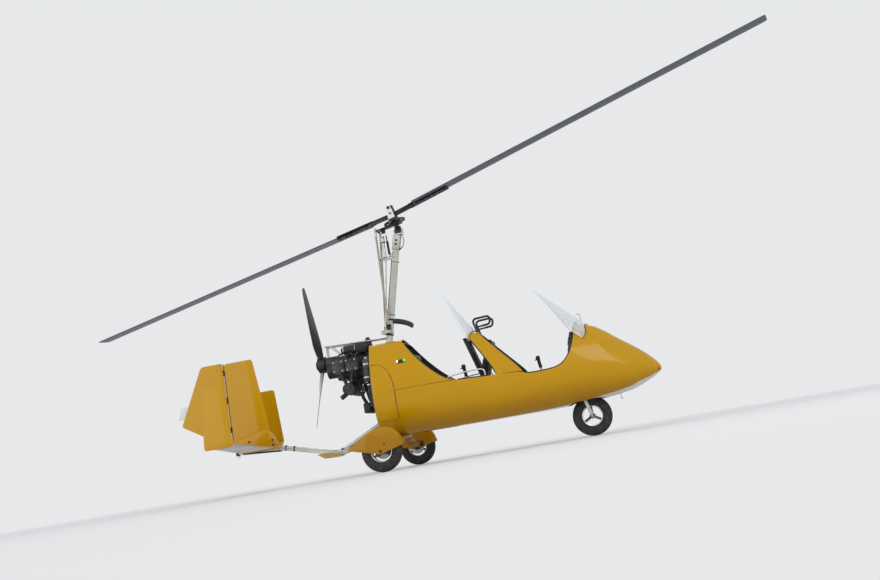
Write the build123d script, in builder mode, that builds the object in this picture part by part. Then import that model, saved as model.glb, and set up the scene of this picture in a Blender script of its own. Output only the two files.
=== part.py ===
from build123d import *
import os
from math import cos, radians, sin

# Open tandem two-seat gyrocopter, in millimetres
# +X points to the nose, +Y to port and +Z up; the origin is on the floor,
# under the middle of the rotor's span

# Running gear
wheel_r = 200.0
tyre_width = 100.0
rim_r = 104.0
axle_r = 10.0
axle_play = 0.05
main_axle_x = -280.0
track_half = 860.0
nose_axle_x = 1720.0
fork_rake = 14.4
fork_half = 68.0

# Rotor, tilted back, coned, and stopped with one blade ahead, towards starboard
rotor_r = 4200.0
rotor_tilt = 10.0
rotor_cone = 2.0
rotor_turn = -14.0
blade_chord = 200.0
blade_thick = 24.0
blade_root = 300.0
strap_end = 700.0
hub_z = 2656.0
hub_x = rotor_r * sin(radians(rotor_cone)) * sin(radians(rotor_tilt))
teeter_up = 85.0
pin_r = 8.0
spindle_r = 12.0

# Propeller behind the engine
prop_x = -980.0
prop_z = 1205.0
prop_r = 865.0
prop_hub_r = 85.0
prop_blade_at = 20.6

# Keel tube under the body, and the mast that stands on it
keel_size = 50.0
keel_wall = 3.0
keel_run = [(141, 414), (-603, 321), (-923, 261), (-1510, 412), (-2066, 452)]
mast_foot = (-458.0, 360.0)
mast_top = (41.0, 2427.0)
mast_deep = 65.0
mast_wide = 50.0
mast_wall = 4.0
roll_axis_z = 2474.0
pitch_axis = (62.0, 2504.0)
bracket_z = 2200.0
lever_z = 1405.0

# Body shell
wall = 14.0
inner_gap = 10.0
shell_rear = -400.0
bulkhead_x = -95.0
tunnel_half = 112.0
tunnel_top = 455.0
tunnel_front = 362.0
well_x = (1490.0, 1890.0)
well_half = 165.0
well_top = 446.0

# Engine and tail
crank_z = 1130.0
cylinder_x = (-600.0, -740.0)
rudder_hinge_x = -2110.0
plate_y = 770.0

os.makedirs("parts", exist_ok=True)


def save(builder, name):
    """Label a finished piece and write it under its node name."""
    builder.part.label = name
    export_step(builder.part, f"parts/{name}.step")


def across(x):
    """The plane square to the body at x: its x is to port, its y is up."""
    return Plane(origin=(x, 0, 0), x_dir=(0, 1, 0), z_dir=(1, 0, 0))


def along(y):
    """The side-view plane at y: its x is to the nose, its y is up."""
    return Plane(origin=(0, y, 0), x_dir=(1, 0, 0), z_dir=(0, -1, 0))


def turned(plane, turn=0.0, lift=0.0):
    """A plane turned about its own z, then its x lifted."""
    t, a = radians(turn), radians(lift)
    flat = plane.x_dir * cos(t) + plane.y_dir * sin(t)
    x_dir = flat * cos(a) + plane.z_dir * sin(a)
    z_dir = plane.z_dir * cos(a) - flat * sin(a)
    return Plane(origin=plane.origin, x_dir=x_dir, z_dir=z_dir)


def spot(plane, x, y, z):
    """A point given in a plane's own x, y and z."""
    return plane.from_local_coords(Vector(x, y, z))


def side_slab(outline, low_y=-500.0, high_y=500.0):
    """A side-view outline of straight runs, made solid from low_y to high_y."""
    with BuildPart() as slab:
        with BuildSketch(along(high_y)):
            with BuildLine():
                Polyline(*outline, close=True)
            make_face()
        extrude(amount=high_y - low_y)
    return slab.part


def foil(plane, front, rear, nose_thick, tail_thick):
    """A rounded front edge that tapers to a thin rear edge, along the plane's x."""
    way = 1 if front > rear else -1
    half, thin = nose_thick / 2, tail_thick / 2
    shoulder = front - way * half
    with BuildSketch(plane) as section:
        with BuildLine():
            ThreePointArc((shoulder, -half), (front, 0), (shoulder, half))
            Line((shoulder, half), (rear, thin))
            Line((rear, thin), (rear, -thin))
            Line((rear, -thin), (shoulder, -half))
        make_face()
    return section.sketch


def rod(start, end, radius):
    """A round bar between two points."""
    way = Vector(*end) - Vector(*start)
    with BuildPart() as bar:
        with BuildSketch(Plane(origin=start, z_dir=way)):
            Circle(radius)
        extrude(amount=way.length)
    return bar.part


# Body shell sections, from the rear to the nose
# x, belly height, belly half width, widest height, half width, top height, top half width
hull_rows = [
    (-430, 345, 120, 700, 352, 1288, 180),
    (0, 332, 130, 700, 358, 1288, 180),
    (600, 328, 135, 700, 362, 1240, 140),
    (1150, 328, 130, 700, 360, 1190, 140),
    (1600, 336, 120, 712, 346, 1130, 135),
    (1850, 350, 110, 712, 322, 1088, 118),
    (2150, 388, 85, 645, 256, 886, 84),
    (2340, 455, 52, 596, 168, 738, 54),
    (2440, 505, 30, 572, 92, 640, 34),
    (2484, 540, 14, 558, 34, 582, 14),
]


def hull_section(row, grow):
    """One body section: flat belly, full lower side, leaner upper side, crowned top."""
    x, belly, belly_half, wide_z, half, top, top_half = row
    belly, top = belly - grow, top + grow
    belly_half, half, top_half = belly_half + grow * 0.5, half + grow, top_half + grow * 0.6
    lower = Vector(half - belly_half, wide_z - belly)
    upper = Vector(top_half - half, top - wide_z)
    low_mid = Vector((half + belly_half) / 2, (wide_z + belly) / 2)
    low_mid += Vector(lower.Y, -lower.X) * 0.17
    high_mid = Vector((half + top_half) / 2, (wide_z + top) / 2)
    high_mid += Vector(upper.Y, -upper.X) * 0.08
    crown = top_half * 0.16
    with BuildSketch(across(x)) as section:
        with BuildLine():
            Line((-belly_half, belly), (belly_half, belly))
            ThreePointArc((belly_half, belly), (low_mid.X, low_mid.Y), (half, wide_z))
            ThreePointArc((half, wide_z), (high_mid.X, high_mid.Y), (top_half, top))
            ThreePointArc((top_half, top), (0, top + crown), (-top_half, top))
            ThreePointArc((-top_half, top), (-high_mid.X, high_mid.Y), (-half, wide_z))
            ThreePointArc((-half, wide_z), (-low_mid.X, low_mid.Y), (-belly_half, belly))
        make_face()
    return section.sketch


def hull_solid(rows, grow):
    """The body's solid, straight between its sections, grown or drawn in."""
    with BuildPart() as solid:
        loft(sections=[hull_section(row, grow) for row in rows], ruled=True)
    return solid.part


hull = hull_solid(hull_rows, 0.0)
hull_room = hull_solid([(-460, *hull_rows[0][1:]), *hull_rows[1:-1]], -wall)
hull_clear = hull_solid(hull_rows[:-2], -wall - inner_gap)
hull_skin = hull - hull_room

# Side-view lines where the body mouldings meet: x, z
rim = [(450, 785), (872, 760), (1137, 746)]
cowl_slope = [(450, 785.5), (332, 822), (114, 1027), (-79, 1299), (-82, 1400)]
cockpit_front = [(1165, 716), (1487, 724), (1580, 790), (1650, 900), (1690, 1040), (1700, 1400)]
hump_outline = [
    (872, 762), (845, 845), (711, 1078), (604, 1236), (612, 1300),
    (700, 1300), (712, 1254), (890, 1042), (1080, 830), (1150, 752), (1137, 748),
]

# Lower body and nose, one hollow moulding
with BuildPart() as fuselage_tub:
    add(hull_skin)
    add(side_slab([(-500, 785), *rim, *cockpit_front, (-500, 1400)]), mode=Mode.SUBTRACT)
    add(
        side_slab([(-500, 300), (-500, 1400), (shell_rear, 1400), (shell_rear - 18, 640), (-160, 300)]),
        mode=Mode.SUBTRACT,
    )
    with BuildSketch(Plane.XY.offset(300)):
        with Locations(((tunnel_front - 500) / 2, 0)):
            Rectangle(tunnel_front + 500, 2 * tunnel_half)
    extrude(amount=tunnel_top - 300, mode=Mode.SUBTRACT)
    with BuildSketch(Plane.XY.offset(300)):
        with Locations(((well_x[0] + well_x[1]) / 2, 0)):
            RectangleRounded(well_x[1] - well_x[0], 2 * well_half, 120)
    extrude(amount=well_top - 300, mode=Mode.SUBTRACT)
save(fuselage_tub, "fuselage_tub")

# Fairing over the front seat's back, which carries the rear windshield
with BuildPart() as mid_deck:
    add(hull_skin)
    add(side_slab(hump_outline), mode=Mode.INTERSECT)
save(mid_deck, "mid_deck")

# Upper rear cowl around the mast
with BuildPart() as rear_cowl:
    add(hull_skin)
    add(
        side_slab([(shell_rear - 15, 785.5), *cowl_slope, (shell_rear, 1400)]),
        mode=Mode.INTERSECT,
    )
    with BuildSketch(Plane.XY.offset(1200)):
        with Locations((-235, 0)):
            Rectangle(120, 74)
    extrude(amount=200, mode=Mode.SUBTRACT)
save(rear_cowl, "rear_cowl")

# Raised access panels on the cowl's sides
panel_x = (-398.0, -182.0)
with BuildPart() as panel_slab:
    with BuildSketch(along(500)):
        with BuildLine():
            Polyline((panel_x[1], 830), (panel_x[1], 500), (panel_x[0] - 8, 640), (panel_x[0], 1078))
            Line((panel_x[0], 1078), (-330, 1078))
            ThreePointArc((-330, 1078), (-226, 990), (panel_x[1], 830))
        make_face()
    extrude(amount=1000)
with BuildPart() as side_panels:
    add(hull_solid(hull_rows[:2], 5.0))
    add(hull, mode=Mode.SUBTRACT)
    add(panel_slab.part, mode=Mode.INTERSECT)
save(side_panels, "side_panels")

# Bulkhead behind the rear seat
with BuildPart() as bulkhead:
    add(hull_room)
    add(
        side_slab([(bulkhead_x, 300), (bulkhead_x + 10, 300), (bulkhead_x + 10, 1272), (bulkhead_x, 1272)]),
        mode=Mode.INTERSECT,
    )
    with BuildSketch(Plane.XY.offset(300)):
        Rectangle(600, 2 * tunnel_half)
    extrude(amount=tunnel_top - 300, mode=Mode.SUBTRACT)
save(bulkhead, "bulkhead")

# Black belly tunnel that the keel tube runs in
with BuildPart() as belly_tunnel:
    add(side_slab([(-158, 300), (tunnel_front, 300), (tunnel_front, tunnel_top), (-158, tunnel_top)],
                  -tunnel_half, tunnel_half))
    add(
        side_slab([(-200, 200), (300, 200), (tunnel_front - 9, 330), (tunnel_front - 9, tunnel_top - 8),
                   (-200, tunnel_top - 8)], 8 - tunnel_half, tunnel_half - 8),
        mode=Mode.SUBTRACT,
    )
    add(hull, mode=Mode.INTERSECT)
save(belly_tunnel, "belly_tunnel")

# Steering axis of the nose wheel, through its axle and leaning back
rake = radians(fork_rake)
steer_plane = Plane(
    origin=(nose_axle_x, 0, wheel_r), x_dir=(cos(rake), 0, sin(rake)), z_dir=(-sin(rake), 0, cos(rake))
)

# Liner of the nose wheel's well, open below, with the sleeve for the fork's stem
with BuildPart() as wheel_well:
    with BuildSketch(Plane.XY.offset(320)):
        with Locations(((well_x[0] + well_x[1]) / 2, 0)):
            RectangleRounded(well_x[1] - well_x[0], 2 * well_half, 120)
    extrude(amount=well_top - 320)
    with BuildSketch(Plane.XY.offset(310)):
        with Locations(((well_x[0] + well_x[1]) / 2, 0)):
            RectangleRounded(well_x[1] - well_x[0] - 12, 2 * well_half - 12, 114)
    extrude(amount=well_top - 316, mode=Mode.SUBTRACT)
    add(hull, mode=Mode.INTERSECT)
    with BuildSketch(steer_plane.offset(234)):
        Circle(24)
    extrude(amount=150)
    with BuildSketch(steer_plane.offset(232)):
        Circle(15 + axle_play)
    extrude(amount=154, mode=Mode.SUBTRACT)
save(wheel_well, "wheel_well")

# Nose fork: stem, crown, two legs and the axle with its free pin ends
with BuildPart() as nose_fork:
    with BuildSketch(steer_plane.offset(210)):
        Circle(15)
    extrude(amount=180)
    with BuildSketch(steer_plane.offset(208)):
        RectangleRounded(44, 2 * fork_half + 16, 8)
    extrude(amount=16)
    for side in (-1, 1):
        with BuildSketch(steer_plane.offset(-20)):
            with Locations((0, side * fork_half)):
                RectangleRounded(34, 14, 5)
        extrude(amount=230)
    with BuildSketch(Plane(origin=(nose_axle_x, 95, wheel_r), z_dir=(0, -1, 0))):
        Circle(axle_r)
    extrude(amount=190)
save(nose_fork, "nose_fork")


def tyre_solid(x, y):
    """A tyre: crowned tread, round shoulders and a bead just off the rim."""
    bead_r = rim_r + 0.1
    with BuildPart() as tyre:
        with BuildSketch(Plane(origin=(x, y, wheel_r), x_dir=(0, 1, 0), z_dir=(-1, 0, 0))):
            with BuildLine():
                Line((-30, bead_r), (30, bead_r))
                ThreePointArc((30, bead_r), (tyre_width / 2, 150), (36, 188))
                ThreePointArc((36, 188), (0, wheel_r), (-36, 188))
                ThreePointArc((-36, 188), (-tyre_width / 2, 150), (-30, bead_r))
            make_face()
        revolve(axis=Axis((x, y, wheel_r), (0, 1, 0)))
    return tyre.part


def rim_solid(x, y):
    """A cast rim: barrel, hub and three spokes."""
    middle = Plane(origin=(x, y, wheel_r), x_dir=(1, 0, 0), z_dir=(0, -1, 0))
    with BuildPart() as rim_part:
        with BuildSketch(middle.offset(-36)):
            Circle(rim_r)
            Circle(rim_r - 10, mode=Mode.SUBTRACT)
        extrude(amount=72)
        with BuildSketch(middle.offset(-32)):
            Circle(30)
        extrude(amount=64)
        with BuildSketch(middle.offset(-14)):
            with PolarLocations(60, 3, 90):
                Rectangle(78, 26)
        extrude(amount=28)
        with BuildSketch(middle.offset(-40)):
            Circle(axle_r + axle_play)
        extrude(amount=80, mode=Mode.SUBTRACT)
    return rim_part.part


# Wheels: name, x, y
for wheel_name, x, y in (
    ("nose", nose_axle_x, 0),
    ("left", main_axle_x, track_half),
    ("right", main_axle_x, -track_half),
):
    with BuildPart() as tyre:
        add(tyre_solid(x, y))
    save(tyre, f"tyre_{wheel_name}")
    with BuildPart() as wheel_rim:
        add(rim_solid(x, y))
    save(wheel_rim, f"rim_{wheel_name}")

# Main gear bow, one springy piece from side to side under the keel
# y, middle x, middle z, chord, thickness
bow_rows = [
    (0, -228, 316, 116, 32),
    (120, -230, 313, 114, 31),
    (420, -258, 272, 100, 27),
    (700, -276, 212, 86, 24),
    (788, -280, 200, 82, 24),
]
with BuildPart() as gear_bow:
    bow_sections = []
    for y, x, z, chord, thick in bow_rows:
        bow_plane = Plane(origin=(x, y, z), x_dir=(1, 0, 0), z_dir=(0, 1, 0))
        with BuildSketch(bow_plane, mode=Mode.PRIVATE) as bow_section:
            RectangleRounded(chord, thick, thick * 0.45)
        bow_sections.append(bow_section.sketch)
    loft(sections=bow_sections)
    mirror(about=Plane.XZ)
save(gear_bow, "gear_bow")

# Stub axles on the bow's ends, with a flange each
with BuildPart() as stub_axles:
    for side in (-1, 1):
        with BuildSketch(along(side * 789)):
            with Locations((main_axle_x, wheel_r)):
                Circle(34)
        extrude(amount=-side * 8)
        with BuildSketch(along(side * 797)):
            with Locations((main_axle_x, wheel_r)):
                Circle(axle_r)
        extrude(amount=-side * 140)
save(stub_axles, "stub_axles")

# Wheel fenders: streamlined, closed on top and at both sides, open below
fender_in, fender_out = 798.0, 930.0


def fender_outline(plane, shrink, drop):
    """The fender's side view, drawn in above and let down below."""
    tail_x = -620 + shrink * 2.4
    with BuildSketch(plane) as outline:
        with BuildLine():
            ThreePointArc(
                (-50 - shrink, 232), (-118 - shrink * 0.7, 380 - shrink * 0.7), (-228, 432 - shrink)
            )
            ThreePointArc((-228, 432 - shrink), (-430, 376 - shrink), (tail_x, 258))
            Polyline((tail_x, 258), (tail_x, 258 - drop), (-281, 170 - drop), (-50 - shrink, 232 - drop),
                     (-50 - shrink, 232))
        make_face()
    return outline.sketch


fender_wide = fender_out - fender_in
with BuildPart() as fender_hollows:
    for side in (-1, 1):
        extrude(fender_outline(along(side * (fender_in + 7)), 7, 60), amount=-side * (fender_wide - 14))
    fillet(fender_hollows.edges().filter_by(GeomType.CIRCLE), radius=20)
with BuildPart() as fenders:
    for side in (-1, 1):
        extrude(fender_outline(along(side * fender_in), 0, 1), amount=-side * fender_wide)
    top_edges = fenders.edges().filter_by(GeomType.CIRCLE)
    fillet(top_edges, radius=26)
    add(fender_hollows.part, mode=Mode.SUBTRACT)
    for side in (-1, 1):
        with BuildSketch(along(side * (fender_in - 5))):
            with Locations((main_axle_x, wheel_r)):
                Circle(axle_r + 0.5)
        extrude(amount=-side * 150, mode=Mode.SUBTRACT)
save(fenders, "fenders")

# Keel tube, bent up behind the propeller, with its brace and a lug at the end
lug = (-2046.0, 402.0)
with BuildPart() as keel_tube:
    with BuildLine(along(0)) as keel_line:
        FilletPolyline(*keel_run, radius=[400, 160, 160])
    with BuildSketch(Plane(origin=keel_line.line @ 0, x_dir=(0, 1, 0), z_dir=keel_line.line % 0)):
        RectangleRounded(keel_size, keel_size, 8)
        RectangleRounded(keel_size - 2 * keel_wall, keel_size - 2 * keel_wall, 5, mode=Mode.SUBTRACT)
    sweep(path=keel_line.line)
    with BuildSketch(along(4)):
        with Locations(lug):
            Circle(18)
            Rectangle(36, 32, align=(Align.CENTER, Align.MIN))
            Circle(7, mode=Mode.SUBTRACT)
    extrude(amount=8)
with BuildPart() as keel_brace:
    add(rod((-880, 0, 292), (-430, 0, 506), 20))
    add(rod((-880, 0, 292), (-430, 0, 506), 17), mode=Mode.SUBTRACT)
    with BuildSketch(Plane.XY.offset(200)):
        with Locations((-800, 0)):
            Rectangle(300, 60)
    extrude(amount=keel_size / 2 + 80, mode=Mode.SUBTRACT)
keel_frame = keel_tube.part

# Mast: one rectangular tube that leans forward
mast_way = Vector(mast_top[0] - mast_foot[0], 0, mast_top[1] - mast_foot[1])
mast_length = mast_way.length
mast_plane = Plane(origin=(mast_foot[0], 0, mast_foot[1]), x_dir=(0, 1, 0), z_dir=mast_way)
with BuildPart() as mast_full:
    with BuildSketch(mast_plane):
        RectangleRounded(mast_wide, mast_deep, 7)
    extrude(amount=mast_length)
with BuildPart() as keel_full:
    with BuildSketch(Plane(origin=keel_line.line @ 0, x_dir=(0, 1, 0), z_dir=keel_line.line % 0)):
        RectangleRounded(keel_size, keel_size, 8)
    sweep(path=keel_line.line)
with BuildPart() as mast:
    with BuildSketch(mast_plane):
        RectangleRounded(mast_wide, mast_deep, 7)
        RectangleRounded(mast_wide - 2 * mast_wall, mast_deep - 2 * mast_wall, 3, mode=Mode.SUBTRACT)
    extrude(amount=mast_length)
    add(keel_full.part, mode=Mode.SUBTRACT)
save(mast, "mast")
brace_solid = keel_brace.part - keel_full.part - mast_full.part
with BuildPart() as keel_whole:
    add(keel_frame)
    add(brace_solid)
save(keel_whole, "keel_tube")

# Mast fittings: cheeks, lugs with the roll pin, rear bracket and the control lever
with BuildPart() as mast_fittings:
    for side in (-1, 1):
        with BuildSketch(mast_plane.offset(mast_length - 150)):
            with Locations((side * (mast_wide / 2 + 4), 0)):
                Rectangle(8, mast_deep + 14)
        extrude(amount=150)
    with BuildSketch(Plane.XY.offset(2427)):
        with Locations((pitch_axis[0] - 4, 0)):
            RectangleRounded(108, 72, 6)
    extrude(amount=10)
    for x in (14, 98):
        with BuildSketch(across(x)):
            with Locations((0, roll_axis_z)):
                Circle(19)
            with Locations((0, (roll_axis_z + 2437) / 2)):
                Rectangle(38, roll_axis_z - 2437)
        extrude(amount=12)
    with BuildSketch(across(8)):
        with Locations((0, roll_axis_z)):
            Circle(pin_r)
    extrude(amount=108)
    with BuildSketch(Plane.XY.offset(bracket_z - 13)):
        with Locations((-110, 0)):
            RectangleRounded(160, 44, 6)
    extrude(amount=26)
    with BuildSketch(Plane.XY.offset(lever_z)):
        with Locations((-228, 0)):
            RectangleRounded(104, 176, 10)
    extrude(amount=28)
    add(mast_full.part, mode=Mode.SUBTRACT)
save(mast_fittings, "mast_fittings")

# Drive shaft up to the rotor's starter, with its coupling
shaft_x = -124.0
with BuildPart() as prerotator_shaft:
    with BuildSketch(Plane.XY.offset(bracket_z + 13)):
        with Locations((shaft_x, 0)):
            Circle(17)
    extrude(amount=165)
    with BuildSketch(Plane.XY.offset(bracket_z + 178)):
        with Locations((shaft_x, 0)):
            Circle(24)
    extrude(amount=70)
    add(rod((shaft_x, 0, bracket_z - 20), (shaft_x - 122, 0, lever_z + 22), 9))
    add(mast_fittings.part, mode=Mode.SUBTRACT)
    add(mast_full.part, mode=Mode.SUBTRACT)
save(prerotator_shaft, "prerotator_shaft")

# Trim cylinder between the mast's bracket and the rotor head
with BuildPart() as trim_cylinder:
    add(rod((-72, 0, bracket_z + 13), (-76, 0, bracket_z + 190), 13))
    add(rod((-76, 0, bracket_z + 190), (-78, 0, bracket_z + 262), 6))
    add(mast_fittings.part, mode=Mode.SUBTRACT)
save(trim_cylinder, "trim_cylinder")

# Two push rods from the lever at the mast's foot to the rotor head
# side, lower x, upper x, upper z
push_rod_y = 112.0
rod_rows = [(-1, -196, -162, 2512), (1, -262, -162, 2512)]
with BuildPart() as push_rods:
    for side, low_x, high_x, high_z in rod_rows:
        add(rod((low_x, side * 70, lever_z + 20), (high_x, side * push_rod_y, high_z - 12), 11))
        with BuildSketch(along(side * push_rod_y + 6)):
            with Locations((high_x, high_z)):
                Circle(16)
        extrude(amount=12)
    add(mast_fittings.part, mode=Mode.SUBTRACT)
save(push_rods, "push_rods")

# Rotor head, tilted back with the rotor
tilt = radians(rotor_tilt)
hub_plane = Plane(
    origin=(hub_x, 0, hub_z), x_dir=(cos(tilt), 0, sin(tilt)), z_dir=(-sin(tilt), 0, cos(tilt))
)
pitch_local_x = (pitch_axis[0] - hub_x) * cos(tilt) + (pitch_axis[1] - hub_z) * sin(tilt)
pitch_local_z = (pitch_axis[1] - hub_z) * cos(tilt) - (pitch_axis[0] - hub_x) * sin(tilt)

# Gimbal block, bored for the roll pin and the pitch pin
with BuildPart() as gimbal_block:
    with BuildSketch(Plane.XY.offset(roll_axis_z - 20)):
        with Locations((pitch_axis[0], 0)):
            RectangleRounded(66, 46, 5)
    extrude(amount=pitch_axis[1] + 17 - roll_axis_z + 20)
    with BuildSketch(across(0)):
        with Locations((0, roll_axis_z)):
            Circle(pin_r + axle_play)
    extrude(amount=150, mode=Mode.SUBTRACT)
    with BuildSketch(along(40)):
        with Locations(pitch_axis):
            Circle(pin_r + axle_play)
    extrude(amount=80, mode=Mode.SUBTRACT)
save(gimbal_block, "gimbal_block")

# Head bridge: plate, ears with the pitch pin, control arms, starter and spindle
arm_end = -212.0
with BuildPart() as head_bridge:
    with BuildSketch(hub_plane.offset(-112)):
        with Locations((5, 0)):
            RectangleRounded(130, 92, 10)
        with Locations(((arm_end - 50) / 2, 36), ((arm_end - 50) / 2, -36)):
            Rectangle(-arm_end - 50, 16)
        with Locations((-90, 0)):
            Rectangle(90, 30)
    extrude(amount=12)
    with BuildSketch(Plane(origin=spot(hub_plane, arm_end, 96, -106), z_dir=(0, -1, 0))):
        Circle(10)
    extrude(amount=192)
    for side in (-1, 1):
        ear_plane = Plane(
            origin=spot(hub_plane, pitch_local_x, side * 31 + 5, pitch_local_z),
            x_dir=hub_plane.x_dir, z_dir=(0, -1, 0),
        )
        with BuildSketch(ear_plane):
            Circle(18)
            Rectangle(36, -112 - pitch_local_z, align=(Align.CENTER, Align.MIN))
        extrude(amount=10)
    with BuildSketch(Plane(origin=(pitch_axis[0], 40, pitch_axis[1]), z_dir=(0, -1, 0))):
        Circle(pin_r)
    extrude(amount=80)
    with BuildSketch(hub_plane.offset(-100)):
        Circle(45)
    extrude(amount=10)
    with BuildSketch(hub_plane.offset(-100)):
        Circle(spindle_r)
    extrude(amount=62)
    with BuildSketch(hub_plane.offset(-150)):
        with Locations((-150, 0)):
            Circle(22)
    extrude(amount=56)
save(head_bridge, "head_bridge")

# Rotor tower: flange, ring gear, two tapered cheeks and the teeter pin
blade_plane = turned(hub_plane, rotor_turn)
with BuildPart() as rotor_tower:
    with BuildSketch(hub_plane.offset(-84)):
        Circle(40)
    extrude(amount=37)
    with BuildSketch(hub_plane.offset(-82)):
        Circle(118)
        with PolarLocations(78, 6):
            Circle(24, mode=Mode.SUBTRACT)
    extrude(amount=10)
    with BuildSketch(blade_plane.offset(-47)):
        RectangleRounded(92, 82, 8)
    extrude(amount=12)
    with BuildSketch(hub_plane.offset(-90)):
        Circle(spindle_r + axle_play)
    extrude(amount=60, mode=Mode.SUBTRACT)
    for side in (-1, 1):
        cheek_plane = Plane(
            origin=spot(blade_plane, 0, side * 36 + 5, 0), x_dir=blade_plane.x_dir, z_dir=-blade_plane.y_dir
        )
        with BuildSketch(cheek_plane):
            with BuildLine():
                Polyline((-42, -40), (42, -40), (24, 112), (14, 120), (-14, 120), (-24, 112), close=True)
            make_face()
        extrude(amount=10)
    teeter_plane = Plane(
        origin=spot(blade_plane, 0, 50, teeter_up), x_dir=blade_plane.x_dir, z_dir=-blade_plane.y_dir
    )
    with BuildSketch(teeter_plane):
        Circle(pin_r)
    extrude(amount=100)
save(rotor_tower, "rotor_tower")

# Hub bar with its teeter block, and the straps that hold the blades
with BuildPart() as hub_bar:
    with BuildSketch(blade_plane.offset(-10)):
        RectangleRounded(64, 44, 4)
    extrude(amount=teeter_up + 30)
    for turn in (0, 180):
        half = turned(blade_plane, turn, rotor_cone)
        with BuildSketch(half.offset(-20)):
            with Locations((130, 0)):
                Rectangle(260, 50)
        extrude(amount=40)
        for low in (-19.0, 12.5):
            with BuildSketch(half.offset(low)):
                with Locations((220 + (strap_end - 220) / 2, 0)):
                    RectangleRounded(strap_end - 220, 86, 20)
            extrude(amount=6.5)
    with BuildSketch(teeter_plane):
        Circle(pin_r + axle_play)
    extrude(amount=100, mode=Mode.SUBTRACT)
save(hub_bar, "hub_bar")

# Rotor blades, coned up a little
with BuildPart() as rotor_blades:
    for turn in (0, 180):
        half = turned(blade_plane, turn, rotor_cone)
        root_plane = Plane(origin=spot(half, blade_root, 0, 0), x_dir=half.y_dir, z_dir=half.x_dir)
        blade_section = foil(root_plane, blade_chord * 0.27, -blade_chord * 0.73, blade_thick, 2.0)
        extrude(blade_section, amount=rotor_r - blade_root)
save(rotor_blades, "rotor_blades")

# Propeller hub, turning about the gearbox's shaft
prop_plane = Plane(origin=(prop_x, 0, prop_z), x_dir=(0, 0, 1), z_dir=(-1, 0, 0))
with BuildPart() as prop_hub:
    with BuildSketch(prop_plane.offset(-40)):
        Circle(prop_hub_r)
    extrude(amount=80)
    with BuildSketch(prop_plane.offset(40)):
        Circle(45)
    extrude(amount=24)
    with BuildSketch(prop_plane.offset(-50)):
        Circle(15 + axle_play)
    extrude(amount=105, mode=Mode.SUBTRACT)
save(prop_hub, "prop_hub")

# Propeller blades: radius, chord, thickness, twist
blade_rows = [(70, 66, 40, 55), (240, 112, 24, 38), (560, 104, 13, 23), (prop_r, 52, 7, 16)]
with BuildPart() as prop_blades:
    for k in range(3):
        reach = turned(prop_plane, 360 - prop_blade_at + 120 * k)
        blade_sections = []
        for radius, chord, thick, twist in blade_rows:
            a = radians(twist)
            section_plane = Plane(
                origin=spot(reach, radius, 0, 0),
                x_dir=reach.y_dir * cos(a) - reach.z_dir * sin(a),
                z_dir=reach.x_dir,
            )
            blade_sections.append(foil(section_plane, chord * 0.4, -chord * 0.6, thick, thick * 0.3))
        loft(sections=blade_sections)
    with BuildSketch(prop_plane.offset(-60)):
        Circle(prop_hub_r)
    extrude(amount=120, mode=Mode.SUBTRACT)
save(prop_blades, "prop_blades")

# Engine: flat four behind the bulkhead, its shaft along X
with BuildPart() as engine_case:
    with BuildSketch(across(-810)):
        with Locations((0, crank_z)):
            RectangleRounded(230, 250, 40)
    extrude(amount=330)
save(engine_case, "engine_case")

with BuildPart() as gearbox:
    with BuildSketch(across(-925)):
        with Locations((0, prop_z)):
            Circle(72)
        with Locations((0, crank_z)):
            Circle(86)
        with Locations((0, (prop_z + crank_z) / 2)):
            Rectangle(140, prop_z - crank_z)
    extrude(amount=115)
    with BuildSketch(across(-1030)):
        with Locations((0, prop_z)):
            Circle(15)
    extrude(amount=106)
save(gearbox, "gearbox")

# Cylinders with cooling fins, and their heads
with BuildPart() as cylinders:
    for x in cylinder_x:
        for side in (-1, 1):
            with BuildSketch(along(side * 115.5)):
                with Locations((x, crank_z)):
                    Circle(50)
            extrude(amount=-side * 112)
            for k in range(7):
                with BuildSketch(along(side * (124 + 14 * k))):
                    with Locations((x, crank_z)):
                        RectangleRounded(124, 124, 24)
                extrude(amount=-side * 5)
            with BuildSketch(along(side * 226)):
                with Locations((x, crank_z)):
                    RectangleRounded(132, 136, 22)
            extrude(amount=-side * 64)
save(cylinders, "cylinders")

# Carburettors, filters and intake pipes on top
with BuildPart() as intake:
    for side in (-1, 1):
        with BuildSketch(across(-560)):
            with Locations((side * 160, 1300)):
                Circle(44)
        extrude(amount=-130)
        with BuildSketch(across(-455)):
            with Locations((side * 160, 1300)):
                Circle(54)
        extrude(amount=-100)
        add(rod((-660, side * 160, 1265), (-660, side * 245, 1180), 22))
    add(cylinders.part, mode=Mode.SUBTRACT)
save(intake, "intake")

# Exhaust pipes into a muffler across the bottom
muffler = (-680.0, 890.0)
with BuildPart() as exhaust:
    with BuildSketch(along(230)):
        with Locations(muffler):
            Circle(62)
    extrude(amount=460)
    for side in (-1, 1):
        for x in cylinder_x:
            add(rod((x, side * 255, crank_z - 60), (muffler[0], side * 190, muffler[1]), 17))
    add(rod((-710, -150, 860), (-780, -190, 810), 24))
    add(cylinders.part, mode=Mode.SUBTRACT)
save(exhaust, "exhaust")

# Radiator in front of the engine, low in the bay
with BuildPart() as radiator:
    with BuildSketch(across(-480)):
        with Locations((0, 780)):
            Rectangle(420, 220)
    extrude(amount=44)
save(radiator, "radiator")

# Oil tank beside the engine case
with BuildPart() as oil_tank:
    with BuildSketch(Plane.XY.offset(930)):
        with Locations((-458, -205)):
            Circle(56)
    extrude(amount=230)
save(oil_tank, "oil_tank")

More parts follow.
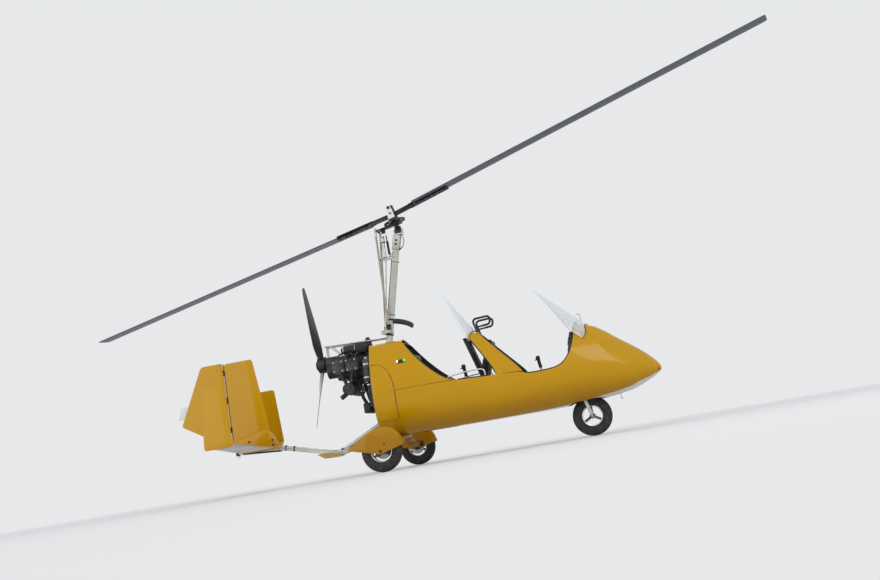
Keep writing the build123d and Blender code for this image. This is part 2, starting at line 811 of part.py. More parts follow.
# Engine mount: top stays from the mast and a bracket over the gearbox
with BuildPart() as engine_mount:
    for side in (-1, 1):
        add(rod((-230, side * 20, 1362), (-900, side * 60, 1385), 9))
        add(rod((-500, side * 100, 1040), (-320, side * 18, 900), 14))
        add(rod((-500, side * 90, 1225), (-290, side * 18, 1130), 14))
    add(rod((-904, -78, 1385), (-904, 78, 1385), 12))
    with BuildSketch(across(-914)):
        with Locations((0, 1330)):
            Rectangle(60, 120)
    extrude(amount=14)
    for other in (mast_full.part, engine_case.part, gearbox.part, rear_cowl.part):
        add(other, mode=Mode.SUBTRACT)
save(engine_mount, "engine_mount")

# Seats: side view of pan and back
with BuildPart() as front_seat:
    add(side_slab([(1270, 470), (1270, 540), (900, 500), (800, 760), (668, 1205), (596, 1195), (735, 700),
                   (830, 420), (900, 400), (1200, 400)], -190, 190))
    add(hull_clear, mode=Mode.INTERSECT)
    with BuildSketch(Plane.XY.offset(345)):
        with Locations((1030, 0)):
            Rectangle(300, 200)
    extrude(amount=80)
save(front_seat, "front_seat")
with BuildPart() as rear_seat:
    add(side_slab([(470, 456), (470, 640), (60, 600), (20, 800), (-50, 1190), (bulkhead_x + 10.5, 1190),
                   (bulkhead_x + 10.5, 456)], -215, 215))
    add(hull_clear, mode=Mode.INTERSECT)
save(rear_seat, "rear_seat")

# Padded bar behind the rear occupant's head
with BuildPart() as headrest:
    add(side_slab([(-160, 1500), (-160, 1560), (60, 1478), (66, 1420), (40, 1414)], -60, 60))
    add(mast_full.part, mode=Mode.SUBTRACT)
save(headrest, "headrest")

# Instrument panel under the front windshield
with BuildPart() as instrument_panel:
    add(hull_room)
    add(
        side_slab([(1600, 830), (1626, 830), (1676, 1060), (1650, 1060)], -300, 300),
        mode=Mode.INTERSECT,
    )
save(instrument_panel, "instrument_panel")


def windshield(base, peak, bow_r, half_width, thick):
    """A bowed clear sheet on the deck's centre line, tapering to its top."""
    way = Vector(peak[0] - base[0], 0, peak[1] - base[1])
    length = way.length
    face = Plane(origin=(base[0], 0, base[1]), x_dir=(0, 1, 0), z_dir=way)
    low = -260.0
    with BuildPart() as sheet:
        with BuildSketch(face.offset(low)):
            with Locations((0, bow_r)):
                Circle(bow_r)
                Circle(bow_r - thick, mode=Mode.SUBTRACT)
        extrude(amount=length - low)
        outline_plane = Plane(origin=(base[0], 0, base[1]), x_dir=(0, 1, 0), z_dir=face.y_dir)
        with BuildSketch(outline_plane.offset(-50)):
            with BuildLine():
                Line((-half_width, -low), (half_width, -low))
                Line((half_width, -low), (half_width, -length * 0.06))
                ThreePointArc(
                    (half_width, -length * 0.06), (half_width * 0.62, -length * 0.68), (0, -length)
                )
                ThreePointArc(
                    (0, -length), (-half_width * 0.62, -length * 0.68), (-half_width, -length * 0.06)
                )
                Line((-half_width, -length * 0.06), (-half_width, -low))
            make_face()
        extrude(amount=50 + bow_r * 0.75, mode=Mode.INTERSECT)
        add(hull, mode=Mode.SUBTRACT)
    return sheet.part


# Windshields: base, peak, bow radius, half width
with BuildPart() as windshields:
    for base, peak, bow_r, half_width in (
        ((1798, 1150), (1344, 1588), 262, 240),
        ((694, 1262), (409, 1711), 240, 205),
    ):
        add(windshield(base, peak, bow_r, half_width, 4))
save(windshields, "windshields")

# Grab hoops on the mid fairing
with BuildPart() as grab_hoops:
    for side in (-1, 1):
        with BuildLine(along(side * 118)) as hoop_line:
            FilletPolyline((730, 1222), (694, 1374), (884, 1384), (868, 1298), (790, 1292), radius=34)
        with BuildSketch(Plane(origin=hoop_line.line @ 0, z_dir=hoop_line.line % 0)):
            Circle(11)
        sweep(path=hoop_line.line)
        with BuildLine(along(side * 118)) as hoop_return:
            Line((828, 1294.92), (711, 1285.92))
        with BuildSketch(Plane(origin=hoop_return.line @ 0, z_dir=hoop_return.line % 0)):
            Circle(9)
        sweep(path=hoop_return.line)
    add(mid_deck.part, mode=Mode.SUBTRACT)
    add(hull_room, mode=Mode.SUBTRACT)
save(grab_hoops, "grab_hoops")

# Position lights on the cowl's sides
with BuildPart() as nav_lights:
    for side in (-1, 1):
        with BuildSketch(along(side * 270)):
            with Locations((-75, 1068)):
                SlotOverall(120, 34)
        extrude(amount=-side * 46)
    add(hull, mode=Mode.SUBTRACT)
save(nav_lights, "nav_lights")

# End plates of the tailplane
with BuildPart() as end_plates:
    for side in (-1, 1):
        loft(sections=[
            foil(Plane(origin=(0, side * plate_y, 492)), -1786, -2098, 26, 5),
            foil(Plane(origin=(0, side * plate_y, 1115)), -1824, -2048, 22, 5),
        ])
save(end_plates, "end_plates")

# Tailplane halves, from the keel's sides out to the end plates
with BuildPart() as tailplane:
    loft(sections=[
        foil(Plane(origin=(0, 25.5, 425), x_dir=(1, 0, 0), z_dir=(0, 1, 0)), -1553, -1985, 52, 6),
        foil(Plane(origin=(0, plate_y - 8, 520), x_dir=(1, 0, 0), z_dir=(0, 1, 0)), -1785, -2082, 30, 5),
    ])
    mirror(about=Plane.XZ)
    add(end_plates.part, mode=Mode.SUBTRACT)
    add(keel_full.part, mode=Mode.SUBTRACT)
save(tailplane, "tailplane")

# Fin with the fairing that seats it on the keel and tailplane, and the rudder's lower bearing
rudder_foot_z = 500.0
with BuildPart() as fin:
    add(side_slab([(-1575, 430), (-2080, 470), (-2084, 580), (-1690, 662), (-1610, 540)], -36, 36))
    loft(sections=[
        foil(Plane.XY.offset(560), -1655, rudder_hinge_x + 26, 46, 34),
        foil(Plane.XY.offset(1414), -1759, rudder_hinge_x + 26, 36, 28),
    ])
    with BuildSketch(Plane.XY.offset(rudder_foot_z)):
        with Locations((rudder_hinge_x + 40, 0)):
            Rectangle(80, 38)
        with Locations((rudder_hinge_x, 0)):
            Circle(19)
            Circle(pin_r + axle_play, mode=Mode.SUBTRACT)
    extrude(amount=12)
    add(keel_full.part, mode=Mode.SUBTRACT)
    add(tailplane.part, mode=Mode.SUBTRACT)
save(fin, "fin")

# Rudder, hinged upright behind the fin on a pin at its foot, and its fixed tab
tab_outline = [(-2570, 900), (-2648, 892), (-2660, 900), (-2640, 1034), (-2540, 1038)]
rudder_bottom = [
    (-2000, 500), (-2000, 542), (-2144, 542), (-2355, 648), (-2644, 821), (-2800, 880), (-2800, 500)
]
with BuildPart() as rudder:
    loft(sections=[
        foil(Plane.XY.offset(540), rudder_hinge_x + 16, -2781, 34, 6),
        foil(Plane.XY.offset(1428), rudder_hinge_x + 14, -2347, 28, 5),
    ])
    add(side_slab(rudder_bottom), mode=Mode.SUBTRACT)
    with BuildSketch(Plane.XY.offset(rudder_foot_z - 6)):
        with Locations((rudder_hinge_x, 0)):
            Circle(pin_r)
    extrude(amount=62)
with BuildPart() as rudder_tab:
    add(side_slab(tab_outline, -2, 2))
    add(rudder.part, mode=Mode.SUBTRACT)
save(rudder, "rudder")
save(rudder_tab, "rudder_tab")

# Small fin pair under the keel's bend
with BuildPart() as keel_fins:
    loft(sections=[
        foil(Plane(origin=(0, 0, 224), x_dir=(1, 0, 0), z_dir=(0, 1, 0)), -885, -1100, 16, 4),
        foil(Plane(origin=(0, 250, 282), x_dir=(1, 0, 0), z_dir=(0, 1, 0)), -958, -1113, 10, 3),
    ])
    mirror(about=Plane.XZ)
    add(keel_full.part, mode=Mode.SUBTRACT)
save(keel_fins, "keel_fins")
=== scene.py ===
"""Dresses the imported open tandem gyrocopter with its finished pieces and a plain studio."""

import math

import bpy
from mathutils import Matrix, Vector

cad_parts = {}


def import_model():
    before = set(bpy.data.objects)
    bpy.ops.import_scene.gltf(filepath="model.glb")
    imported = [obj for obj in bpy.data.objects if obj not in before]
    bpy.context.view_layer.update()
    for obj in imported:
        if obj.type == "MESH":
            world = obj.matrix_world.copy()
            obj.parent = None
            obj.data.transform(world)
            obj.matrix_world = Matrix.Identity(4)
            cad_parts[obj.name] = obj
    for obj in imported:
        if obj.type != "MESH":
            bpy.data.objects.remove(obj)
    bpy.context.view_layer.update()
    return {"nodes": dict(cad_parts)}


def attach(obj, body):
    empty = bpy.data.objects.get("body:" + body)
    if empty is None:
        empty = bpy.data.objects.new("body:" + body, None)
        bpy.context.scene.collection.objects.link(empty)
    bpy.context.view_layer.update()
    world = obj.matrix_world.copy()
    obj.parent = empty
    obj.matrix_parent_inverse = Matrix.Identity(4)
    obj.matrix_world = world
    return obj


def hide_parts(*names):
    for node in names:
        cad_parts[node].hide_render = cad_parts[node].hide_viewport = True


bl_info = {
    "name": "Open tandem gyrocopter",
    "version": (1, 0, 0),
    "blender": (4, 5, 0),
    "location": "3D View > Sidebar > Gyrocopter",
    "description": "Finished pieces, materials and studio for an open tandem gyrocopter",
    "category": "Object",
}


def xyz(x, y, z):
    """A point or a way."""
    return Vector((x, y, z))


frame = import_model()

# Body sections, from the rear to the nose, in metres
# x, belly height, belly half width, widest height, half width, top height, top half width
HULL_ROWS = [
    (-0.430, 0.345, 0.120, 0.700, 0.352, 1.288, 0.180),
    (0.000, 0.332, 0.130, 0.700, 0.358, 1.288, 0.180),
    (0.600, 0.328, 0.135, 0.700, 0.362, 1.240, 0.140),
    (1.150, 0.328, 0.130, 0.700, 0.360, 1.190, 0.140),
    (1.600, 0.336, 0.120, 0.712, 0.346, 1.130, 0.135),
    (1.850, 0.350, 0.110, 0.712, 0.322, 1.088, 0.118),
    (2.150, 0.388, 0.085, 0.645, 0.256, 0.886, 0.084),
    (2.340, 0.455, 0.052, 0.596, 0.168, 0.738, 0.054),
    (2.440, 0.505, 0.030, 0.572, 0.092, 0.640, 0.034),
    (2.484, 0.540, 0.014, 0.558, 0.034, 0.582, 0.014),
]
SHELL_REAR = -0.412
NOSE_TIP = 2.484

# Side-view edge lines of the body mouldings: x, z
TUB_RIM = [
    (SHELL_REAR, 0.784), (0.450, 0.784), (0.872, 0.759), (1.130, 0.745), (1.165, 0.718),
    (1.300, 0.716), (1.487, 0.724), (1.580, 0.790), (1.650, 0.900), (1.690, 1.040), (1.700, 1.160),
]
COWL_EDGE = [(0.450, 0.786), (0.332, 0.822), (0.114, 1.027), (-0.079, 1.299), (-0.082, 1.400)]
HUMP_REAR = [(0.872, 0.762), (0.845, 0.845), (0.711, 1.078), (0.604, 1.236), (0.612, 1.320)]
HUMP_FRONT = [(1.137, 0.748), (1.080, 0.830), (0.890, 1.042), (0.712, 1.254), (0.700, 1.320)]

TILT = math.radians(10.0)
CONE = math.radians(2.0)
ROTOR_TURN = math.radians(-14.0)
ROTOR_R = 4.2
TILT_X = xyz(math.cos(TILT), 0, math.sin(TILT))
TILT_Z = xyz(-math.sin(TILT), 0, math.cos(TILT))
HUB = xyz(ROTOR_R * math.sin(CONE) * math.sin(TILT), 0.0, 2.656)
PROP = xyz(-0.980, 0.0, 1.205)
RUDDER_HINGE = -2.110
MAST_FOOT = xyz(-0.458, 0.0, 0.360)
MAST_TOP = xyz(0.041, 0.0, 2.427)
STEER_RAKE = math.radians(14.4)
WHEELS = {"nose": ("nose_wheel", 1.720, 0.0), "left": ("wheel_left", -0.280, 0.860),
          "right": ("wheel_right", -0.280, -0.860)}
WHEEL_R = 0.200
SIDES = (-1, 1)  # starboard, port
POLE = 0.0001  # radius at which a turned profile meets its axis
KEEL_RISE = math.radians(4.3)
HEADS_Z = 1.130  # middle of the cylinder heads
FILTER = (0.160, 1.300)  # y and z of the intake filters' axis
TANK = (-0.458, -0.205)  # x and y of the oil tank's axis
MUFFLER = (-0.680, 0.890)  # x and z of the muffler's axis
TRIM_X = -0.124  # trim cylinder's axis
PANEL_BACK = xyz(-0.9772, 0, 0.2124)  # out of the instrument panel's rear face
PANEL_RISE = xyz(0.2124, 0, 0.9772)
BACKDROP = (0.80, 0.81, 0.82, 1.0)


class GyroSizes(bpy.types.PropertyGroup):
    """Sizes of the finished pieces that are not fixed by the frame."""

    wall: bpy.props.FloatProperty(
        name="Moulding wall", description="Thickness of the body mouldings", default=0.012, unit="LENGTH")
    edge: bpy.props.FloatProperty(
        name="Edge rounding", description="Radius of the mouldings' edges", default=0.003, unit="LENGTH")
    groove: bpy.props.FloatProperty(
        name="Tread groove", description="Depth of the tyres' grooves", default=0.004, unit="LENGTH")
    camera_away: bpy.props.FloatProperty(
        name="Camera distance", description="From the camera to the middle of the view", default=10.5,
        unit="LENGTH")
    camera_height: bpy.props.FloatProperty(
        name="Camera height", description="Height of the camera over the floor", default=0.10, unit="LENGTH")


class GyroColours(bpy.types.PropertyGroup):
    """Main colours."""

    paint: bpy.props.FloatVectorProperty(
        name="Body paint", description="Gloss yellow of the mouldings", subtype="COLOR",
        default=(0.57, 0.298, 0.001))
    belly: bpy.props.FloatVectorProperty(
        name="Belly white", description="White strip along the belly", subtype="COLOR",
        default=(0.72, 0.70, 0.64))
    steel: bpy.props.FloatVectorProperty(
        name="Frame steel", description="Stainless mast and keel", subtype="COLOR",
        default=(0.62, 0.60, 0.54))
    floor: bpy.props.FloatVectorProperty(
        name="Floor", description="Plain pale studio floor", subtype="COLOR", default=(0.80, 0.80, 0.80))


def dimmed(colour, share):
    """A colour made darker or lighter by a share."""
    return tuple(c * share for c in colour)


class Value:
    """A shader socket that takes part in plain arithmetic."""

    def __init__(self, finish, socket):
        self.finish, self.socket = finish, socket

    def math(self, operation, other=None, swap=False, clamp=False):
        pair = (other, self) if swap else (self, other)
        sockets = {k: v for k, v in enumerate(pair) if v is not None}
        return self.finish.node("ShaderNodeMath", {"operation": operation, "use_clamp": clamp}, sockets)

    def __add__(self, other):
        return self.math("ADD", other)

    def __radd__(self, other):
        return self.math("ADD", other)

    def __sub__(self, other):
        return self.math("SUBTRACT", other)

    def __rsub__(self, other):
        return self.math("SUBTRACT", other, swap=True)

    def __mul__(self, other):
        return self.math("MULTIPLY", other)

    def __rmul__(self, other):
        return self.math("MULTIPLY", other)

    def __truediv__(self, other):
        return self.math("DIVIDE", other)

    def __abs__(self):
        return self.math("ABSOLUTE")

    def clamped(self):
        return self.math("ADD", 0.0, clamp=True)

    def sine(self):
        return self.math("SINE")


class Shading:
    """Makes the nodes of one shader tree."""

    def __init__(self, holder):
        holder.use_nodes = True
        self.tree = holder.node_tree

    def node(self, kind, settings=None, sockets=None, out=0):
        """A node with its settings made first, then its sockets' values or links."""
        made = self.tree.nodes.new(kind)
        for key, value in (settings or {}).items():
            if key == "stops":
                while len(made.color_ramp.elements) < len(value):
                    made.color_ramp.elements.new(0.5)
                for element, (place, tone) in zip(made.color_ramp.elements, value):
                    element.position = place
                    element.color = tone if hasattr(tone, "__len__") else (tone, tone, tone, 1.0)
            else:
                setattr(made, key, value)
        for key, value in (sockets or {}).items():
            if isinstance(value, Value):
                self.tree.links.new(value.socket, made.inputs[key])
            else:
                made.inputs[key].default_value = value
        return Value(self, made.outputs[out])

    def seen(self):
        """1 on the rays by which the eye, metal and glass see the backdrop, else 0."""
        camera, glossy, clear = (
            self.node("ShaderNodeLightPath", out=f"Is {kind} Ray")
            for kind in ("Camera", "Glossy", "Transmission"))
        return camera.math("MAXIMUM", glossy).math("MAXIMUM", clear)


class Finish(Shading):
    """One material being made, around its Principled shader."""

    def __init__(self, name, colour, roughness=0.5, metallic=0.0, **plain):
        self.material = bpy.data.materials.new(name)
        super().__init__(self.material)
        self.shader = self.tree.nodes["Principled BSDF"]
        self.colour = (*colour, 1.0)
        self.set("Base Color", self.colour)
        self.set("Roughness", roughness)
        self.set("Metallic", metallic)
        for key, value in plain.items():
            self.set(key.replace("_", " ").title().replace("Ior", "IOR"), value)

    def set(self, name, value):
        """Feeds one socket of the shader with a number, a colour or a link."""
        target = self.shader.inputs[name]
        if isinstance(value, Value):
            self.tree.links.new(value.socket, target)
        else:
            target.default_value = value

    def place(self, scale=(1, 1, 1)):
        """Object coordinates, stretched along its axes."""
        found = self.node("ShaderNodeTexCoord", out="Object")
        return self.node("ShaderNodeMapping", {}, {"Vector": found, "Scale": scale})

    def axes(self):
        """The x, y and z of object coordinates."""
        split = self.node("ShaderNodeSeparateXYZ", {}, {0: self.node("ShaderNodeTexCoord", out="Object")})
        return [Value(self, o) for o in split.socket.node.outputs]

    def noise(self, scale, detail=3.0, stretch=(1, 1, 1), roughness=0.5):
        return self.node(
            "ShaderNodeTexNoise", {},
            {"Vector": self.place(stretch), "Scale": scale, "Detail": detail, "Roughness": roughness})

    def cells(self, scale):
        return self.node("ShaderNodeTexVoronoi", {}, {"Vector": self.place(), "Scale": scale})

    def ramp(self, value, *stops):
        return self.node("ShaderNodeValToRGB", {"stops": stops}, {"Fac": value})

    def mix(self, share, first, second):
        """Two colours, mixed by a share."""
        made = self.tree.nodes.new("ShaderNodeMix")
        made.data_type = "RGBA"
        for index, value in ((0, share), (6, first), (7, second)):
            if isinstance(value, Value):
                self.tree.links.new(value.socket, made.inputs[index])
            elif index:
                made.inputs[index].default_value = value if len(value) == 4 else (*value, 1.0)
            else:
                made.inputs[index].default_value = value
        return Value(self, made.outputs[2])

    def tone(self, amount, source):
        """The base colour made a little lighter and darker by a source from 0 to 1."""
        dark = tuple(c * (1 - amount) for c in self.colour[:3])
        light = tuple(min(1.0, c * (1 + amount)) for c in self.colour[:3])
        return self.mix(source, dark, light)

    def bump(self, height, depth, strength=1.0):
        self.set(
            "Normal",
            self.node("ShaderNodeBump", {}, {"Height": height, "Distance": depth, "Strength": strength}))
        return self


def body_paint(name, white_belly):
    """Gloss yellow paint, darker and browner towards the bottom as painted shade, with a white belly strip if
    asked.
    """
    colours = bpy.context.scene.gyro_colours
    paint = Finish(name, colours.paint, 0.32, coat_weight=0.35, coat_roughness=0.03, specular_ior_level=0.1)
    clouds = paint.noise(2.2, 4.0)
    x, y, z = paint.axes()
    # Painted shade: the paint turns darker and browner towards the bottom of the body, its edge broken up by
    # noise.
    painted_low_shade = paint.ramp(z + clouds * 0.12, (0.38, 0.0), (0.62, 1.0))
    unshaded_paint = paint.tone(0.05, clouds)
    colour = paint.mix(painted_low_shade, tuple(c * share for c, share in zip(colours.paint, (0.7, 0.61, 0.6))), unshaded_paint)
    if white_belly:
        along = x / 2.6
        half = paint.ramp(
            along, (0.0, 0.0), (0.139, 0.0), (0.141, 0.115), (0.4, 0.135), (0.72, 0.165), (0.86, 0.15),
            (0.925, 0.088), (0.955, 0.03), (0.97, 0.0))
        edge = ((half - abs(y)) * 500.0).clamped()
        under = ((0.532 - z) * 300.0).clamped()
        white = paint.mix(clouds, dimmed(colours.belly, 0.86), tuple(colours.belly))
        colour = paint.mix(edge * under, colour, white)
    paint.set("Base Color", colour)
    paint.set("Roughness", paint.ramp(paint.noise(7.0, 2.0), (0.3, 0.27), (0.7, 0.36)))
    paint.bump(paint.noise(7.0, 1.0), 0.002, 0.1)
    return paint.material


def gloss_shell_lining():
    """Dark textured inside of the mouldings."""
    lining = Finish("shell_lining", (0.03, 0.03, 0.032), 0.85)
    lining.set("Base Color", lining.tone(0.35, lining.noise(60.0, 5.0)))
    lining.bump(lining.cells(900.0), 0.0006, 0.5)
    return lining.material


def moulded_black(name, colour=(0.014, 0.014, 0.015), roughness=0.55, grain=700.0):
    """Black moulded plastic with a fine grain."""
    plastic = Finish(name, colour, roughness)
    plastic.set("Base Color", plastic.tone(0.3, plastic.noise(14.0, 4.0)))
    plastic.set("Roughness", plastic.ramp(plastic.noise(90.0), (0.3, roughness - 0.08), (0.7, roughness + 0.1)))
    plastic.bump(plastic.cells(grain), 0.0003, 0.35)
    return plastic.material


def brushed_metal(name, colour, roughness=0.32, stretch=(1, 1, 60), metallic=1.0):
    """Drawn metal, with fine lines along its length and faint stains."""
    metal = Finish(name, colour, roughness, metallic)
    lines = metal.noise(60.0, 3.0, stretch)
    stains = metal.noise(5.0, 5.0)
    metal.set(
        "Base Color",
        metal.mix(metal.ramp(stains, (0.35, 0.0), (0.7, 1.0)), dimmed(colour, 0.72), tuple(colour)))
    metal.set(
        "Roughness", metal.ramp(lines * 0.5 + stains * 0.5, (0.3, roughness - 0.08), (0.7, roughness + 0.14)))
    metal.bump(lines, 0.0002, 0.25)
    return metal.material


def cast_metal(name, colour, roughness=0.5, metallic=0.7):
    """Cast alloy with a grainy skin and dirt in its low places."""
    metal = Finish(name, colour, roughness, metallic)
    grime = metal.noise(11.0, 6.0)
    metal.set(
        "Base Color",
        metal.mix(metal.ramp(grime, (0.35, 0.0), (0.65, 1.0)), dimmed(colour, 0.45), tuple(colour)))
    metal.set("Roughness", metal.ramp(grime, (0.3, min(0.9, roughness + 0.2)), (0.7, roughness)))
    metal.bump(metal.noise(420.0, 4.0), 0.0004, 0.5)
    return metal.material


def tower_metal():
    """Pale brushed cheeks of the rotor tower above its dark flange and starter disc."""
    pale, dark = (0.6, 0.59, 0.55), (0.06, 0.06, 0.064)
    metal = Finish("tower_plate_and_disc", pale, 0.4, 0.85)
    x, _, z = metal.axes()
    foot = HUB.z * math.cos(TILT) - HUB.x * math.sin(TILT) - 0.036
    plates = ((z * math.cos(TILT) - x * math.sin(TILT) - foot) * 500.0).clamped()
    stains = metal.ramp(metal.noise(14.0, 5.0), (0.35, 0.75), (0.7, 1.0))
    worn = metal.mix(stains, dimmed(pale, 0.7), pale)
    metal.set("Base Color", metal.mix(plates, metal.mix(stains, (0.03, 0.03, 0.032), dark), worn))
    metal.set("Roughness", metal.ramp(metal.noise(60.0, 3.0, (40, 1, 1)), (0.3, 0.34), (0.7, 0.52)))
    metal.bump(metal.noise(60.0, 3.0, (40, 1, 1)), 0.0002, 0.25)
    return metal.material


def tyre_rubber():
    """Matte rubber with dust on the tread's shoulders."""
    rubber = Finish("tyre_rubber_worn", (0.02, 0.02, 0.021), 0.78)
    dust = rubber.noise(24.0, 6.0)
    rubber.set(
        "Base Color",
        rubber.mix(rubber.ramp(dust, (0.42, 0.0), (0.72, 1.0)), (0.014, 0.014, 0.015), (0.05, 0.046, 0.04)))
    rubber.set("Roughness", rubber.ramp(dust, (0.3, 0.68), (0.7, 0.9)))
    rubber.bump(rubber.noise(500.0, 3.0), 0.0003, 0.4)
    return rubber.material


def woven_cover(name, colour):
    """Woven seat cover with a fine cross weave and a soft sheen."""
    cover = Finish(name, colour, 0.86, sheen_weight=0.3)
    x, y, z = cover.axes()
    warp = (y * 5200.0).sine()
    weft = ((x + z) * 3700.0).sine()
    weave = abs(warp * weft)
    cover.set("Base Color", cover.mix(weave, dimmed(colour, 0.55), dimmed(colour, 1.35)))
    cover.bump(weave * 0.6 + cover.noise(160.0, 4.0) * 0.4, 0.0006, 0.6)
    return cover.material


def clear_sheet():
    """Clear moulded sheet: thin, faintly blue and brighter at a glance."""
    sheet = Finish("clear_sheet", (0.86, 0.92, 0.96), 0.04, specular_ior_level=0.8, coat_weight=0.6)
    glance = sheet.node("ShaderNodeLayerWeight", {}, {"Blend": 0.35}, out="Facing")
    streaks = sheet.noise(9.0, 4.0, (1, 1, 0.3))
    sheet.set("Alpha", (glance * 0.58 + 0.17 + streaks * 0.06).clamped())
    sheet.set("Roughness", sheet.ramp(streaks, (0.35, 0.03), (0.75, 0.1)))
    return sheet.material


def lamp_lens(name, colour, strength):
    """A lit coloured lens."""
    lens = Finish(name, colour, 0.12, coat_weight=1.0)
    ribs = (lens.axes()[0] * 900.0).sine()
    lens.set("Emission Color", lens.mix(abs(ribs), dimmed(colour, 0.6), colour))
    lens.shader.inputs["Emission Strength"].default_value = strength
    lens.set("Roughness", lens.ramp(lens.noise(80.0), (0.3, 0.08), (0.7, 0.2)))
    return lens.material


def deselect():
    bpy.ops.object.select_all(action="DESELECT")


def only(piece):
    """Makes a piece the one that the next operator acts on."""
    deselect()
    piece.select_set(True)
    bpy.context.view_layer.objects.active = piece


def apply(piece, kind, **settings):
    """Adds a modifier to a piece and applies it."""
    only(piece)
    added = piece.modifiers.new(kind.lower(), kind)
    for key, value in settings.items():
        setattr(added, key, value)
    bpy.ops.object.modifier_apply(modifier=added.name)
    return piece


def edited(piece, *steps, chosen="SELECT"):
    """Runs mesh operators on a piece in edit mode, each with its settings."""
    only(piece)
    bpy.ops.object.mode_set(mode="EDIT")
    if chosen:
        bpy.ops.mesh.select_all(action=chosen)
    for operator, settings in steps:
        operator(**settings)
    bpy.ops.object.mode_set(mode="OBJECT")
    return piece


def settle(piece, merge=0.00002, outward=True):
    """Joins points that meet and turns the faces outwards."""
    edited(piece, (bpy.ops.mesh.remove_doubles, {"threshold": merge}))
    if outward:
        edited(piece, (bpy.ops.mesh.normals_make_consistent, {"inside": False}))
    return piece


def eased(piece, width):
    """Rounds a piece's sharp edges."""
    return apply(piece, "BEVEL", width=width, segments=2, limit_method="ANGLE", angle_limit=math.radians(60))


def finished(piece, name, *materials, body="airframe", slot="panel_black", angle=35.0, replaces=()):
    """Names a piece, or a list of parts made one, fixes its place, shades it and lets it ride on a body."""
    if isinstance(piece, list):
        piece = joined(piece)
    only(piece)
    piece.name = name
    bpy.ops.object.transform_apply()
    bpy.ops.object.shade_smooth_by_angle(angle=math.radians(angle))
    if materials and list(piece.data.materials) != list(materials):
        piece.data.materials.clear()
        for material in materials:
            piece.data.materials.append(material)
    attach(piece, body)
    if replaces:
        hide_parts(*replaces)
    return piece


def surface(columns, lines, place):
    """A grid whose points are placed by a function of two numbers from 0 to 1."""
    deselect()
    bpy.ops.mesh.primitive_grid_add(x_subdivisions=columns, y_subdivisions=lines, size=2.0)
    piece = bpy.context.active_object
    for vertex in piece.data.vertices:
        vertex.co = place((vertex.co.x + 1) / 2, (vertex.co.y + 1) / 2)
    return piece


def joined(pieces):
    """Several meshes made one."""
    deselect()
    for piece in pieces:
        piece.select_set(True)
    bpy.context.view_layer.objects.active = pieces[0]
    if len(pieces) > 1:
        bpy.ops.object.join()
    return bpy.context.active_object


def block(centre, size, bevel=0.003, turn=(0, 0, 0), segments=2):
    """A box with rounded edges."""
    deselect()
    bpy.ops.mesh.primitive_cube_add(size=1.0, location=centre, rotation=turn)
    piece = bpy.context.active_object
    piece.scale = size
    bpy.ops.object.transform_apply()
    if bevel:
        apply(piece, "BEVEL", width=bevel, segments=segments, limit_method="ANGLE")
    return piece


def bar(start, end, radius, sides=24, bevel=0.001, cone=None):
    """A round bar between two points, with its end edges eased."""
    start, end = Vector(start), Vector(end)
    way = end - start
    deselect()
    bpy.ops.mesh.primitive_cone_add(
        vertices=sides, radius1=radius, radius2=cone if cone is not None else radius, depth=way.length,
        location=(start + end) / 2, rotation=way.to_track_quat("Z", "Y").to_euler())
    piece = bpy.context.active_object
    bpy.ops.object.transform_apply()
    if bevel:
        apply(piece, "BEVEL", width=bevel, segments=2, limit_method="ANGLE", angle_limit=math.radians(50))
    return piece


def pipe(points, radius, sides=4, order=3):
    """A bent round pipe along a smooth line."""
    line = bpy.data.curves.new("line", "CURVE")
    line.dimensions = "3D"
    line.bevel_depth = radius
    line.bevel_resolution = sides
    line.use_fill_caps = True
    line.resolution_u = 8
    spline = line.splines.new("NURBS")
    spline.points.add(len(points) - 1)
    for place, point in zip(spline.points, points):
        place.co = (*point, 1.0)
    spline.order_u = order
    spline.use_endpoint_u = True
    piece = bpy.data.objects.new("pipe", line)
    bpy.context.scene.collection.objects.link(piece)
    only(piece)
    bpy.ops.object.convert(target="MESH")
    return bpy.context.active_object


def turned_part(profile, axis_point, axis, sides):
    """A profile of (along, radius) pairs turned about an axis through a point."""
    axis = Vector(axis).normalized()
    out = axis.orthogonal().normalized()
    side = axis.cross(out)
    count = len(profile)

    def place(u, v):
        step = round(v * (count - 1))
        along, radius = profile[step]
        angle = 2 * math.pi * u
        return Vector(axis_point) + axis * along + (out * math.cos(angle) + side * math.sin(angle)) * radius

    piece = surface(sides, count - 1, place)
    return settle(piece)


def squared(value, power):
    """A sine or cosine whose curve is made fuller by a power below 1."""
    return math.copysign(abs(value) ** power, value)


def blade_frames():
    """The span, chord and upward ways of both rotor blades."""
    out = TILT_X * math.cos(ROTOR_TURN) + xyz(0, 1, 0) * math.sin(ROTOR_TURN)
    frames = []
    for half in (1, -1):
        flat = out * half
        span = flat * math.cos(CONE) + TILT_Z * math.sin(CONE)
        up = TILT_Z * math.cos(CONE) - flat * math.sin(CONE)
        frames.append((span, up.cross(span), up))
    return frames


def ring(at, way, low, high, inner, outer, sides):
    """A flat ring about an axis, from low to high along it."""
    profile = [(low, inner), (low, outer), (high, outer), (high, inner), (low, inner)]
    return turned_part(profile, at, way, sides)


def mirrored(side, *points):
    """Points given for the port side, on either side."""
    return [(x, side * y, z) for x, y, z in points]


def bolt(at, way, radius, height, washer=True):
    """A hexagon bolt head on its washer."""
    at, way = Vector(at), Vector(way).normalized()
    parts = [bar(at, at + way * height, radius, sides=6, bevel=0.0007)]
    if washer:
        parts.append(bar(at - way * 0.001, at + way * 0.0012, radius * 1.35, sides=20, bevel=0.0004))
    return joined(parts)


def smooth_line(points, rounds=2):
    """A line with its corners cut, its ends kept."""
    for _ in range(rounds):
        cut = [points[0]]
        for first, second in zip(points, points[1:]):
            cut.append(tuple(a * 0.75 + b * 0.25 for a, b in zip(first, second)))
            cut.append(tuple(a * 0.25 + b * 0.75 for a, b in zip(first, second)))
        cut.append(points[-1])
        points = cut
    return points


